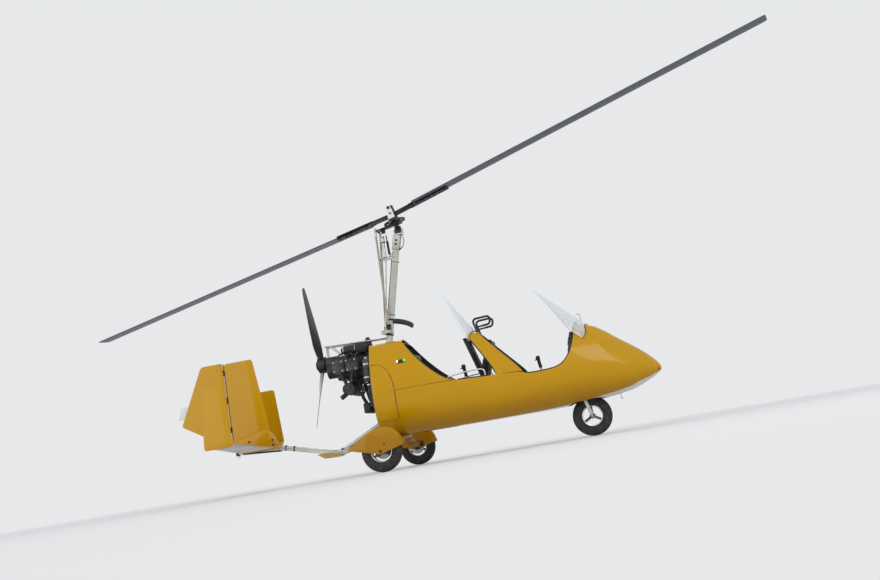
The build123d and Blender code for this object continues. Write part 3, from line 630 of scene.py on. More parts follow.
def ribbon(points, width, thick=0.002, rounds=3):
    """A flat strap; each point is a place and the way that the strap's face looks there."""
    line = smooth_line([(*place, *face) for place, face in points], rounds)
    count = len(line) - 1

    def place(u, v):
        k = round(u * count)
        here = Vector(line[k][:3])
        way = Vector(line[min(k + 1, count)][:3]) - Vector(line[max(k - 1, 0)][:3])
        across = way.cross(Vector(line[k][3:])).normalized()
        return here + across * width * (v - 0.5)

    piece = surface(count, 2, place)
    return apply(piece, "SOLIDIFY", thickness=thick, offset=0.0)


def line_at(points, place, key, value):
    """The value on a line at a place, from its straight runs."""
    ordered = sorted(points, key=lambda p: p[key])
    if place <= ordered[0][key]:
        return ordered[0][value]
    for first, second in zip(ordered, ordered[1:]):
        if place <= second[key]:
            share = (place - first[key]) / max(1e-9, second[key] - first[key])
            return first[value] + share * (second[value] - first[value])
    return ordered[-1][value]


def row_at(x):
    """The body section at x, eased between the rows."""
    rows = HULL_ROWS
    x = max(rows[0][0], min(rows[-1][0], x))
    k = max(i for i in range(len(rows) - 1) if rows[i][0] <= x)

    def slope(i, c):
        if i == 0 or i == len(rows) - 1:
            j = min(max(i, 1), len(rows) - 2)
            j = 0 if i == 0 else j
            return (rows[j + 1][c] - rows[j][c]) / (rows[j + 1][0] - rows[j][0])
        before = (rows[i][c] - rows[i - 1][c]) / (rows[i][0] - rows[i - 1][0])
        after = (rows[i + 1][c] - rows[i][c]) / (rows[i + 1][0] - rows[i][0])
        if before * after <= 0:
            return 0.0
        return 2 * before * after / (before + after)

    span = rows[k + 1][0] - rows[k][0]
    t = (x - rows[k][0]) / span
    found = []
    for c in range(1, 7):
        a, b = rows[k][c], rows[k + 1][c]
        ma, mb = slope(k, c) * span, slope(k + 1, c) * span
        found.append(
            (2 * t**3 - 3 * t**2 + 1) * a + (t**3 - 2 * t**2 + t) * ma + (3 * t**2 - 2 * t**3) * b
            + (t**3 - t**2) * mb)
    return found


def arc_point(start, end, sagitta, t):
    """A point on an arc that bulges to the right of its chord."""
    (ax, az), (bx, bz) = start, end
    half = 2 * math.atan(2 * sagitta)
    chord = math.hypot(bx - ax, bz - az)
    if chord < 1e-9:
        return start
    radius = chord / 2 / math.sin(half)
    ux, uz = (bx - ax) / chord, (bz - az) / chord
    angle = -half + 2 * half * t
    along = chord / 2 + radius * math.sin(angle)
    out = radius * math.cos(angle) - radius * math.cos(half)
    return ax + ux * along + uz * out, az + uz * along - ux * out


def raw_section(row, w):
    """(y, z) of the section on the port side: w is 0 at the belly and 1 at the crown."""
    belly, belly_half, wide_z, half, top, top_half = row
    if w < 0.12:
        return belly_half * w / 0.12, belly
    if w < 0.52:
        return arc_point((belly_half, belly), (half, wide_z), 0.17, (w - 0.12) / 0.4)
    if w < 0.86:
        return arc_point((half, wide_z), (top_half, top), 0.08, (w - 0.52) / 0.34)
    return arc_point((top_half, top), (-top_half, top), 0.08, (w - 0.86) / 0.28)


def section(row, w):
    """The section with its belly edge and shoulder eased."""
    soft = 0.016
    w = max(0.0, min(1.0, w))
    y, z = raw_section(row, w)
    if w > 1 - soft or w < soft:
        return y, z
    before, after = raw_section(row, w - soft), raw_section(row, w + soft)
    return (before[0] + 2 * y + after[0]) / 4, (before[1] + 2 * z + after[1]) / 4


def share_at(row, z):
    """The w at which the section reaches a height."""
    low, high = 0.0, 1.0
    for _ in range(22):
        middle = (low + high) / 2
        if section(row, middle)[1] < z:
            low = middle
        else:
            high = middle
    return (low + high) / 2


def deck_height(x, y):
    """Height of the body's upper skin at x and y."""
    row = row_at(x)
    low, high = 0.52, 1.0
    for _ in range(22):
        middle = (low + high) / 2
        if section(row, middle)[0] > abs(y):
            low = middle
        else:
            high = middle
    return section(row, (low + high) / 2)[1]


def skin_point(x, w, side, grow=0.0):
    """A point of the body's skin, moved out by grow."""
    row = row_at(x)
    y, z = section(row, w)
    if grow:
        y0, z0 = section(row, w - 0.01)
        y1, z1 = section(row, w + 0.01)
        length = math.hypot(y1 - y0, z1 - z0) or 1.0
        y, z = y + (z1 - z0) / length * grow, z - (y1 - y0) / length * grow
    return xyz(x, side * y, z)


def shell(piece, name, *materials, slot, replaces=(), cutters=()):
    """Gives a moulding's skin its wall, cut-outs and rounded edges."""
    sizes = bpy.context.scene.gyro_sizes
    settle(piece, 0.0004)
    for material in materials:
        piece.data.materials.append(material)
    apply(piece, "SOLIDIFY", thickness=sizes.wall, offset=-1.0, material_offset=1, material_offset_rim=0)
    for cutter in cutters:
        apply(piece, "BOOLEAN", operation="DIFFERENCE", object=cutter, solver="EXACT")
    for cutter in cutters:
        bpy.data.objects.remove(cutter)
    eased(piece, sizes.edge)
    return finished(piece, name, *materials, slot=slot, angle=40.0, replaces=replaces)


def tub(paint, lining):
    """Lower body and nose: the whole body's skin, cut away above the rim."""
    dome = 0.016

    def place(u, v):
        x = SHELL_REAR + (NOSE_TIP + 0.003 - SHELL_REAR) * (1 - (1 - u) ** 1.4)
        t = 2 * v - 1
        at = skin_point(x, abs(t), 1 if t > 0 else -1)
        ahead = (x - (NOSE_TIP + 0.003 - dome)) / dome
        if ahead > 0:
            middle = xyz(x, 0, 0.561)
            at = middle + (at - middle) * math.sqrt(max(0.0, 1 - ahead**2))
        return at

    skin = surface(130, 144, place)
    rim = [(SHELL_REAR - 0.1, TUB_RIM[0][1]), *smooth_line(TUB_RIM, 3)]
    above = surface(len(rim) - 1, 1, lambda u, v: Vector((
        rim[round(u * (len(rim) - 1))][0], 0, rim[round(u * (len(rim) - 1))][1] * (1 - v) + 1.7 * v)))
    apply(above, "SOLIDIFY", thickness=1.2, offset=0.0)
    well = block((1.69, 0, 0.323), (0.4, 0.33, 0.246), bevel=0)
    round_corners(well, 0.118)
    tunnel = block((-0.069, 0, 0.3775), (0.862, 0.224, 0.155), bevel=0)
    shell(
        skin, "fuselage_tub_skin", paint, lining, slot="body_paint", replaces=["fuselage_tub"],
        cutters=[above, well, tunnel])


def round_corners(piece, radius):
    """Rounds a block's upright edges."""
    edited(piece, chosen="DESELECT")
    for edge in piece.data.edges:
        a, b = (piece.data.vertices[i].co for i in edge.vertices)
        edge.select = abs(a.z - b.z) > 0.05
    edited(piece, (bpy.ops.mesh.bevel, {"offset": radius, "segments": 10}), chosen=None)


def band(rear_line, front_line, low_line, columns, lines):
    """A skin across the body from one lower edge over the crown to the other."""

    def place(u, v):
        t = 2 * v - 1
        x = (rear_line[0][0] + front_line[0][0]) / 2
        for _ in range(8):
            row = row_at(x)
            low = share_at(row, line_at(low_line, x, 0, 1))
            w = 1 - abs(t) * (1 - low)
            z = section(row, w)[1]
            rear, front = line_at(rear_line, z, 1, 0), line_at(front_line, z, 1, 0)
            x = rear + u * (front - rear)
        return skin_point(x, w, 1 if t > 0 else -1)

    return surface(columns, lines, place)


def side_panels(paint):
    """Raised access panels behind the rear seat, rounded at their upper front."""
    panels = []
    front = [(-0.182, 0.5), (-0.182, 0.8), (-0.19, 0.88), (-0.226, 0.99), (-0.275, 1.045), (-0.33, 1.076)]
    for side in SIDES:
        def place(u, v, side=side):
            z = 0.5 + v * 0.574
            rear = line_at([(-0.409, 0.5), (-0.4, 0.64), (-0.398, 1.08)], z, 1, 0)
            x = rear + u * (line_at(front, z, 1, 0) - rear)
            return skin_point(x, share_at(row_at(x), z), side, 0.0045)

        piece = settle(surface(14, 40, place), 0.0002, outward=False)
        if side < 0:
            edited(piece, (bpy.ops.mesh.flip_normals, {}))
        eased(apply(piece, "SOLIDIFY", thickness=0.006, offset=0.0), 0.002)
        panels.append(piece)
    finished(panels, "side_panel_pair", paint, slot="body_paint", replaces=["side_panels"])


class GYRO_OT_fuselage(bpy.types.Operator):
    """Smooth body mouldings with their cut-outs"""

    bl_idname = "gyro.fuselage"
    bl_label = "Fuselage mouldings"

    def execute(self, context):
        paint = body_paint("gloss_yellow_body", True)
        plain = body_paint("gloss_yellow_upper", False)
        lining = gloss_shell_lining()
        tub(paint, lining)
        rear_edge = [(SHELL_REAR, 0.7), (SHELL_REAR, 1.5)]
        cowl = band(rear_edge, smooth_line(COWL_EDGE, 3), [(-0.43, 0.787), (0.46, 0.787)], 30, 96)
        slot_cut = block((-0.235, 0, 1.3), (0.12, 0.074, 0.2), bevel=0)
        shell(
            cowl, "rear_cowl_skin", plain, lining, slot="body_paint", replaces=["rear_cowl"],
            cutters=[slot_cut])
        hump = band(
            smooth_line(HUMP_REAR, 3), smooth_line(HUMP_FRONT, 3), [(0.8, 0.766), (1.16, 0.748)], 20, 96)
        shell(hump, "mid_deck_skin", plain, lining, slot="body_paint", replaces=["mid_deck"])
        side_panels(plain)
        return {"FINISHED"}


def floor(colours):
    """The pale ground, which fades into the backdrop far from the part."""
    deselect()
    bpy.ops.mesh.primitive_grid_add(x_subdivisions=4, y_subdivisions=4, size=400.0, location=(0, 0, 0))
    ground = bpy.context.active_object
    ground.name = "floor"
    matte = Finish("pale_floor", colours.floor, 0.9)
    matte.set("Base Color", matte.tone(0.01, matte.noise(0.4)))
    x, y, _ = matte.axes()
    apart = (x * x + y * y).math("SQRT")
    far = ((apart - 4.0) / 6.0).clamped()
    glow = matte.node("ShaderNodeEmission", {}, {"Color": BACKDROP, "Strength": 1.0})
    lit = Value(matte, matte.shader.outputs[0])
    both = matte.node("ShaderNodeMixShader", {}, {0: far * matte.seen(), 1: lit, 2: glow})
    matte.tree.links.new(both.socket, matte.tree.nodes["Material Output"].inputs["Surface"])
    ground.data.materials.append(matte.material)


def world():
    """Soft light from all round, and the plain backdrop that is seen."""
    room = bpy.data.worlds.new("pale_room")
    bpy.context.scene.world = room
    shading = Shading(room)
    light = shading.tree.nodes["Background"]
    light.inputs["Color"].default_value = (0.93, 0.96, 1.0, 1.0)
    light.inputs["Strength"].default_value = 0.62
    backdrop = shading.node("ShaderNodeBackground", {}, {"Color": BACKDROP})
    both = shading.node(
        "ShaderNodeMixShader", {}, {0: shading.seen(), 1: Value(shading, light.outputs[0]), 2: backdrop})
    shading.tree.links.new(both.socket, shading.tree.nodes["World Output"].inputs[0])


def lamp(name, place, target, size, power):
    """Puts an area light at a place, turned to a target."""
    data = bpy.data.lights.new(name, "AREA")
    data.size = size
    data.energy = power
    light = bpy.data.objects.new(name, data)
    light.location = place
    light.rotation_euler = (Vector(target) - Vector(place)).to_track_quat("-Z", "Y").to_euler()
    bpy.context.scene.collection.objects.link(light)


def camera(sizes):
    """At floor level off the starboard bow, turned a little as in the photograph."""
    azimuth, roll = math.radians(8.9), math.radians(9.7)
    target = xyz(0.4, 0.0, 1.76)
    away = sizes.camera_away
    place = xyz(target.x + math.sin(azimuth) * away, -math.cos(azimuth) * away, sizes.camera_height)
    data = bpy.data.cameras.new("camera")
    data.lens = 41.3
    data.clip_end = 300.0
    camera = bpy.data.objects.new("camera", data)
    turn = (target - place).to_track_quat("-Z", "Y").to_matrix().to_4x4()
    camera.matrix_world = Matrix.Translation(place) @ turn @ Matrix.Rotation(-roll, 4, "Z")
    bpy.context.scene.collection.objects.link(camera)
    bpy.context.scene.camera = camera


class GYRO_OT_stage(bpy.types.Operator):
    """Floor, soft lamps and the camera at floor level"""

    bl_idname = "gyro.stage"
    bl_label = "Studio"

    def execute(self, context):
        scene = context.scene
        floor(scene.gyro_colours)
        world()
        lamp("key", (6.0, -8.0, 8.0), (0, 0, 1.0), 6.0, 400)
        lamp("fill", (-7.0, -7.0, 3.0), (0, 0, 1.2), 6.0, 150)
        lamp("rim", (-2.0, 8.0, 7.0), (0, 0, 1.2), 5.0, 200)
        camera(scene.gyro_sizes)
        scene.view_settings.view_transform = "Standard"
        return {"FINISHED"}


def foil_grid(rows, chord_way, thick_way, span_way, points=22, lines=48, cap=0.35):
    """A closed wing-like surface through rows of (span, front, rear, thickness).

    Places are measured along three unit vectors; the tips close over the last share of a row's thickness.
    """
    chord_way, thick_way, span_way = Vector(chord_way), Vector(thick_way), Vector(span_way)
    low, high = rows[0][0], rows[-1][0]

    def half_thick(t):
        return 2 * (0.2969 * math.sqrt(t) - 0.126 * t - 0.3516 * t**2 + 0.2843 * t**3 - 0.1015 * t**4)

    def place(u, v):
        along = (1 - math.cos(math.pi * v)) / 2
        span = low + (high - low) * along
        front = line_at(rows, span, 0, 1)
        rear = line_at(rows, span, 0, 2)
        thick = line_at(rows, span, 0, 3)
        tip = min(span - low, high - span)
        close = math.sqrt(max(0.0, 1 - (1 - min(1.0, tip / (cap * thick + 1e-9))) ** 2))
        a = 2 * math.pi * u
        t = (1 - math.cos(a)) / 2
        up = half_thick(t) * thick * (1 if a < math.pi else -1) * close
        corner = min(1.0, tip / 0.03)
        inset = (1 - math.sqrt(max(0.0, 1 - (1 - corner) ** 2))) * 0.03
        way = 1 if front > rear else -1
        front, rear = front - way * inset, rear + way * inset
        return span_way * span + chord_way * (front + (rear - front) * t) + thick_way * up

    piece = surface(points * 2, lines, place)
    return settle(piece, 0.00005)


def tail_paint():
    """Gloss yellow above and light grey skins on the tailplane's undersides."""
    colours = bpy.context.scene.gyro_colours
    paint = Finish("tail_two_tone", colours.paint, 0.34, coat_weight=0.35, specular_ior_level=0.1)
    under = paint.node("ShaderNodeNewGeometry", out="Normal")
    split = paint.node("ShaderNodeSeparateXYZ", {}, {0: under}, out=2)
    x, y, _ = paint.axes()
    smear = paint.noise(6.0, 6.0)
    grey = paint.mix(paint.ramp(smear, (0.35, 0.0), (0.7, 1.0)), (0.34, 0.33, 0.3), (0.6, 0.59, 0.55))
    facing_down = ((-0.35 - split) * 40.0).clamped()
    reach = ((abs(y) - 0.16) * 200.0).clamped()
    lead = ((-1.6 - x - abs(y) * 0.24) * 200.0).clamped()
    paint.set("Base Color", paint.mix(facing_down * reach * lead, paint.tone(0.05, smear), grey))
    paint.bump(paint.noise(7.0, 1.0), 0.002, 0.1)
    return paint.material


def fin(paint):
    """The fin and the moulded fairing at its foot."""
    rows = [(0.56, -1.655, -2.084, 0.046), (1.414, -1.759, -2.084, 0.034)]
    upper = foil_grid(rows, (1, 0, 0), (0, 1, 0), (0, 0, 1), lines=36)

    def place(u, v):
        x = -1.578 - v * 0.505
        top = line_at([(-1.578, 0.445), (-1.61, 0.54), (-1.69, 0.655), (-2.084, 0.575)], x, 0, 1)
        low = line_at([(-1.578, 0.435), (-2.084, 0.475)], x, 0, 1)
        a = math.pi * u
        half = 0.036 * min(1.0, 0.25 + v * 5)
        return xyz(x, half * squared(math.cos(a), 0.6), low + (top - low) * math.sin(a) ** 0.7)

    lower = settle(surface(28, 30, place), 0.0002)
    apply(lower, "SOLIDIFY", thickness=0.003, offset=-1.0)
    finished([upper, lower], "fin_and_fairing", paint, slot="tail_paint", replaces=["fin"], angle=50)


def rudder(paint, pale):
    """The rudder's blade and the bent trim tab on its rear edge."""
    rows = [
        (0.542, -2.096, -2.15, 0.034), (0.648, -2.096, -2.355, 0.034), (0.821, -2.096, -2.644, 0.033),
        (1.428, -2.096, -2.347, 0.028)]
    blade = foil_grid(rows, (1, 0, 0), (0, 1, 0), (0, 0, 1), lines=60)
    finished(blade, "rudder_skin", paint, body="rudder", slot="tail_paint", replaces=["rudder"], angle=50)
    tab = block((-2.612, 0, 0.965), (0.075, 0.005, 0.135), bevel=0.002)
    for vertex in tab.data.vertices:
        vertex.co.x += (vertex.co.z - 0.965) * 0.4
    finished(tab, "rudder_trim_tab", pale, body="rudder", slot="alloy", replaces=["rudder_tab"])


def keel_fins(paint):
    """The pair of small fins low under the engine."""
    fins = []
    for side in SIDES:
        rows = [(0.02, -0.885, -1.1, 0.016), (0.25, -0.958, -1.113, 0.01)]
        piece = foil_grid(rows, (1, 0, 0), (0, 0, 1), (0, side, 0), lines=18)
        for vertex in piece.data.vertices:
            vertex.co.z += 0.224 + 0.058 * (abs(vertex.co.y) / 0.25)
        fins.append(settle(piece))
    finished(fins, "keel_fin_pair", paint, slot="tail_paint", replaces=["keel_fins"], angle=50)


class GYRO_OT_tail(bpy.types.Operator):
    """Tailplane, end plates, fin, rudder and keel fins"""

    bl_idname = "gyro.tail"
    bl_label = "Tail"

    def execute(self, context):
        paint = body_paint("gloss_yellow_tail", False)
        two_tone = tail_paint()
        grey = Finish("pale_tab", (0.74, 0.74, 0.72), 0.4)
        grey.set("Base Color", grey.tone(0.06, grey.noise(30.0)))
        halves = []
        for side in SIDES:
            rows = [(0.026, -1.553, -1.985, 0.046), (0.762, -1.785, -2.082, 0.027)]
            half = foil_grid(rows, (1, 0, 0), (0, 0, 1), (0, side, 0), lines=30)
            for vertex in half.data.vertices:
                share = (abs(vertex.co.y) - 0.0255) / (0.762 - 0.0255)
                vertex.co.z += 0.425 + 0.095 * share
            halves.append(settle(half))
        finished(halves, "tailplane_skin", two_tone, slot="tail_paint", replaces=["tailplane"], angle=50)
        plates = []
        for side in SIDES:
            rows = [(0.492, -1.786, -2.098, 0.024), (1.115, -1.824, -2.048, 0.021)]
            plate = foil_grid(rows, (1, 0, 0), (0, 1, 0), (0, 0, 1), lines=36)
            plate.location.y = side * 0.77
            plates.append(plate)
        finished(plates, "end_plate_pair", paint, slot="tail_paint", replaces=["end_plates"], angle=50)
        fin(paint)
        rudder(paint, grey.material)
        keel_fins(two_tone)
        return {"FINISHED"}


def tyre(name, body, x, y, rubber):
    """A crowned tyre with three grooves and a moulded rim guard."""
    groove = bpy.context.scene.gyro_sizes.groove
    crown = []
    for k in range(41):
        across = -0.036 + 0.072 * k / 40
        radius = WHEEL_R - 0.012 * (across / 0.036) ** 2
        for middle in (-0.018, 0.0, 0.018):
            if abs(across - middle) < 0.0028:
                radius -= groove
        crown.append((across, radius))
    side = [
        (0.041, 0.182), (0.0462, 0.168), (0.049, 0.152), (0.0482, 0.136), (0.044, 0.124), (0.0425, 0.121),
        (0.0405, 0.118), (0.036, 0.109), (0.032, 0.1045)]
    inner = [(-a, r) for a, r in reversed(side)]
    profile = [*inner, *crown, *side, (0.0, 0.1042), inner[0]]
    piece = turned_part(profile, (x, y, WHEEL_R), (0, 1, 0), sides=96)
    notch(piece, x, y, groove)
    finished(
        piece, f"tyre_{name}_tread", rubber, body=body, slot="tyre_rubber", replaces=[f"tyre_{name}"], angle=28)


def notch(piece, x, y, groove):
    """Cross cuts on the tread's outer ribs."""
    for vertex in piece.data.vertices:
        out = xyz(vertex.co.x - x, 0, vertex.co.z - WHEEL_R)
        across = abs(vertex.co.y - y)
        step = round(math.atan2(out.z, out.x) / (2 * math.pi) * 96)
        if out.length > 0.186 and across > 0.024 and step % 3 == 0:
            out_less = out.normalized() * groove * 0.8
            vertex.co.x -= out_less.x
            vertex.co.z -= out_less.z


def rim(name, body, x, y, bright, dark):
    """A barrel with lips, a hub with its cap, and three spokes with lightening slots."""
    axis = (0, 1, 0)
    centre = xyz(x, y, WHEEL_R)
    lip = [
        (-0.035, 0.1035), (-0.036, 0.1), (-0.034, 0.0955), (-0.026, 0.0935), (0.026, 0.0935), (0.034, 0.0955),
        (0.036, 0.1), (0.035, 0.1035), (0.03, 0.1038), (0.024, 0.098), (-0.024, 0.098), (-0.03, 0.1038),
        (-0.035, 0.1035)]
    barrel = turned_part(lip, centre, axis, sides=96)
    finished(barrel, f"rim_{name}_barrel", bright, body=body, slot="alloy", replaces=[f"rim_{name}"])
    parts = []
    hub = [
        (-0.032, 0.0102), (-0.032, 0.022), (-0.028, 0.029), (-0.016, 0.03), (0.016, 0.03), (0.028, 0.029),
        (0.032, 0.022), (0.032, 0.0102), (-0.032, 0.0102)]
    parts.append(turned_part(hub, centre, axis, sides=48))
    for k in range(3):
        angle = math.radians(90 + 120 * k)
        out = xyz(math.cos(angle), 0, math.sin(angle))
        spoke = block(
            centre + out * 0.06, (0.026, 0.026, 0.074), bevel=0.006, turn=(0, math.pi / 2 - angle, 0),
            segments=3)
        parts.append(spoke)
        parts += [
            bolt(centre + out * 0.022 + xyz(0, side * 0.031, 0), (0, side, 0), 0.004, 0.004, washer=False)
            for side in SIDES]
    finished(parts, f"rim_{name}_spokes", dark, body=body, slot="alloy", replaces=[f"rim_{name}"])


class GYRO_OT_wheels(bpy.types.Operator):
    """Grooved tyres on three-spoke rims"""

    bl_idname = "gyro.wheels"
    bl_label = "Wheels"

    def execute(self, context):
        rubber = tyre_rubber()
        bright = brushed_metal("polished_rim_lip", (0.72, 0.72, 0.7), 0.26, (1, 1, 1))
        dark = cast_metal("dark_cast_spokes", (0.16, 0.16, 0.17), 0.42)
        for name, (body, x, y) in WHEELS.items():
            tyre(name, body, x, y, rubber)
            rim(name, body, x, y, bright, dark)
        return {"FINISHED"}


def bow(paint):
    """The main gear's springy bow, one moulding from wheel to wheel."""
    rows = [
        (0.0, -0.228, 0.316, 0.116, 0.032), (0.12, -0.23, 0.313, 0.114, 0.031),
        (0.42, -0.258, 0.272, 0.1, 0.027), (0.7, -0.276, 0.212, 0.086, 0.024),
        (0.788, -0.28, 0.2, 0.082, 0.024)]

    def place(u, v):
        y = -0.788 + 1.576 * v
        at = abs(y)
        x, z = line_at(rows, at, 0, 1), line_at(rows, at, 0, 2)
        chord, thick = line_at(rows, at, 0, 3), line_at(rows, at, 0, 4)
        a = 2 * math.pi * u
        return xyz(x + chord / 2 * squared(math.cos(a), 0.55), y, z + thick / 2 * squared(math.sin(a), 0.75))

    piece = edited(
        settle(surface(40, 64, place)), (bpy.ops.mesh.select_non_manifold, {}),
        (bpy.ops.mesh.edge_face_add, {}), chosen="DESELECT")
    apply(piece, "SMOOTH", factor=0.5, iterations=6)
    finished(piece, "gear_bow_moulding", paint, slot="body_paint", replaces=["gear_bow"], angle=50)


def fender(side):
    """A streamlined cover over a main wheel, open below."""
    top = smooth_line([
        (-0.052, 0.236), (-0.078, 0.33), (-0.14, 0.402), (-0.228, 0.431), (-0.32, 0.42), (-0.43, 0.374),
        (-0.53, 0.312), (-0.618, 0.26)], 2)
    low = [(-0.052, 0.232), (-0.281, 0.171), (-0.618, 0.256)]

    def place(u, v):
        x = -0.053 - 0.563 * (1 - math.cos(math.pi * v)) / 2
        high = line_at(top, x, 0, 1)
        bottom = line_at(low, x, 0, 1)
        half = 0.064 * min(1.0, ((-0.05 - x) / 0.05) ** 0.5, 0.25 + ((x + 0.619) / 0.3) ** 0.8)
        a = math.pi * u
        flat = squared(math.cos(a), 0.38)
        return xyz(x, side * 0.864 + half * flat, bottom + (high - bottom) * math.sin(a) ** 0.62)

    return settle(surface(40, 60, place), 0.0003)


class GYRO_OT_gear(bpy.types.Operator):
    """Gear bow, fenders and axle nuts"""

    bl_idname = "gyro.gear"
    bl_label = "Landing gear"

    def execute(self, context):
        paint = body_paint("gloss_yellow_gear", False)
        lining = gloss_shell_lining()
        bow(paint)
        covers = []
        for side in SIDES:
            cover = fender(side)
            cover.data.materials.append(paint)
            cover.data.materials.append(lining)
            apply(cover, "SOLIDIFY", thickness=0.005, offset=-1.0, material_offset=1, material_offset_rim=1)
            covers.append(eased(cover, 0.0015))
        finished(covers, "fender_pair", paint, lining, slot="body_paint", replaces=["fenders"], angle=40)
        dark = cast_metal("dark_bolts", (0.1, 0.1, 0.11), 0.4, 0.9)
        caps = []
        for side in SIDES:
            caps += [
                bolt((-0.28, side * 0.9295, 0.2), (0, side, 0), 0.01, 0.007),
                bolt((-0.235, side * 0.929, 0.262), (0, side, 0), 0.006, 0.004)]
        finished(caps, "axle_nuts", dark, slot="dark_steel")
        return {"FINISHED"}


class GYRO_OT_rotor(bpy.types.Operator):
    """Rotor blades with true sections"""

    bl_idname = "gyro.rotor"
    bl_label = "Rotor"

    def execute(self, context):
        skin = Finish("blade_dark_satin", (0.06, 0.066, 0.078), 0.38, 0.55)
        stains = skin.noise(3.0, 5.0)
        skin.set("Base Color", skin.tone(0.3, stains))
        skin.set("Roughness", skin.ramp(skin.noise(40.0, 4.0), (0.3, 0.32), (0.7, 0.48)))
        skin.bump(skin.noise(200.0), 0.0002, 0.2)
        blades = []
        for span, chord, up in blade_frames():
            rows = [(0.3, 0.054, -0.146, 0.024), (ROTOR_R, 0.054, -0.146, 0.024)]
            blade = foil_grid(rows, chord, up, span, points=26, lines=60)
            blade.location = HUB
            blades.append(blade)
        finished(
            blades, "rotor_blade_pair", skin.material, body="rotor", slot="blade_alloy",
            replaces=["rotor_blades"], angle=50)
        return {"FINISHED"}


class GYRO_OT_propeller(bpy.types.Operator):
    """Twisted propeller blades"""

    bl_idname = "gyro.propeller"
    bl_label = "Propeller"

    def execute(self, context):
        skin = Finish("propeller_dark", (0.03, 0.031, 0.034), 0.3, coat_weight=0.8, coat_roughness=0.08)
        skin.set("Base Color", skin.tone(0.4, skin.noise(16.0, 5.0)))
        skin.bump(skin.noise(300.0), 0.0002, 0.2)
        rows = [
            (0.086, 0.068, 0.036, 52.0), (0.16, 0.092, 0.03, 44.0), (0.24, 0.112, 0.023, 37.0),
            (0.4, 0.112, 0.017, 28.5), (0.56, 0.102, 0.012, 22.5), (0.72, 0.082, 0.009, 18.5),
            (0.82, 0.064, 0.0075, 16.8), (0.85, 0.048, 0.0065, 16.2), (0.864, 0.018, 0.005, 16.0)]
        blades = []
        for k in range(3):
            angle = math.radians(360 - 20.6 + 120 * k)
            out = xyz(0, math.sin(angle), math.cos(angle))
            side = xyz(-1, 0, 0).cross(out)
            back = xyz(-1, 0, 0)

            def place(u, v, out=out, side=side, back=back):
                radius = rows[0][0] + (rows[-1][0] - rows[0][0]) * math.sin(math.pi / 2 * v)
                chord, thick = line_at(rows, radius, 0, 1), line_at(rows, radius, 0, 2)
                twist = math.radians(line_at(rows, radius, 0, 3))
                a = 2 * math.pi * u
                t = (1 - math.cos(a)) / 2
                up = thick * 0.5 * (abs(math.sin(a)) ** 0.8) * (1.15 - 0.75 * t) * (0.6 if a < math.pi else -1)
                along = side * math.cos(twist) - back * math.sin(twist)
                over = back * math.cos(twist) + side * math.sin(twist)
                return PROP + out * radius + along * (chord * (0.4 - t)) + over * up

            blades.append(settle(surface(36, 60, place), 0.00005))
        finished(
            blades, "propeller_blade_set", skin.material, body="propeller", slot="prop_composite",
            replaces=["prop_blades"], angle=60)
        return {"FINISHED"}


def sheet(base, peak, bow_r, half_width):
    """A bowed sheet from the deck to a round top, and its lower edge."""
    base, peak = Vector(base), Vector(peak)
    way = (peak - base).normalized()
    length = (peak - base).length
    back = way.cross(xyz(0, 1, 0))
    edge = []

    def point(y, s):
        sag = bow_r - math.sqrt(max(0.0, bow_r**2 - y**2))
        return base + way * s + back * sag + xyz(0, y, 0)

    def low_at(y):
        low, high = -0.25, 0.12
        for _ in range(24):
            middle = (low + high) / 2
            p = point(y, middle)
            if p.z < deck_height(p.x, p.y):
                low = middle
            else:
                high = middle
        return (low + high) / 2 + 0.001

    def place(u, v):
        across = math.sin(math.pi / 2 * (2 * u - 1))
        low = low_at(half_width * across)
        s = low + (length - low) * math.sin(math.pi / 2 * v)
        taper = (1 - min(1.0, max(0.0, s / length)) ** 1.6) ** 0.7
        return point(half_width * across * taper, s)

    piece = surface(44, 40, place)
    for k in range(25):
        y = half_width * math.sin(math.pi / 2 * (2 * k / 24 - 1))
        edge.append(point(y, low_at(y)))
    return piece, edge


class GYRO_OT_windshields(bpy.types.Operator):
    """Clear windshields with their seals"""

    bl_idname = "gyro.windshields"
    bl_label = "Windshields"

    def execute(self, context):
        clear = clear_sheet()
        rubber = moulded_black("seal_rubber", (0.018, 0.018, 0.019), 0.6)
        paint = body_paint("gloss_yellow_collar", False)
        sheets, seals, collars = [], [], []
        for base, peak, bow_r, half_width in (
                ((1.798, 0, 1.15), (1.344, 0, 1.588), 0.262, 0.236),
                ((0.694, 0, 1.262), (0.409, 0, 1.711), 0.24, 0.2)):
            piece, edge = sheet(base, peak, bow_r, half_width)
            settle(piece, 0.0002, outward=False)
            apply(piece, "SOLIDIFY", thickness=0.0035, offset=0.0)
            sheets.append(piece)
            seals.append(pipe([p + xyz(0, 0, 0.005) for p in edge], 0.0065))
            collars.append(pipe([p - xyz(0, 0, 0.003) for p in edge], 0.011))
        finished(sheets, "windshield_pair", clear, slot="clear_sheet", replaces=["windshields"], angle=60)
        finished(seals, "windshield_seals", rubber)
        finished(collars, "windshield_collars", paint, slot="body_paint", angle=60)
        return {"FINISHED"}


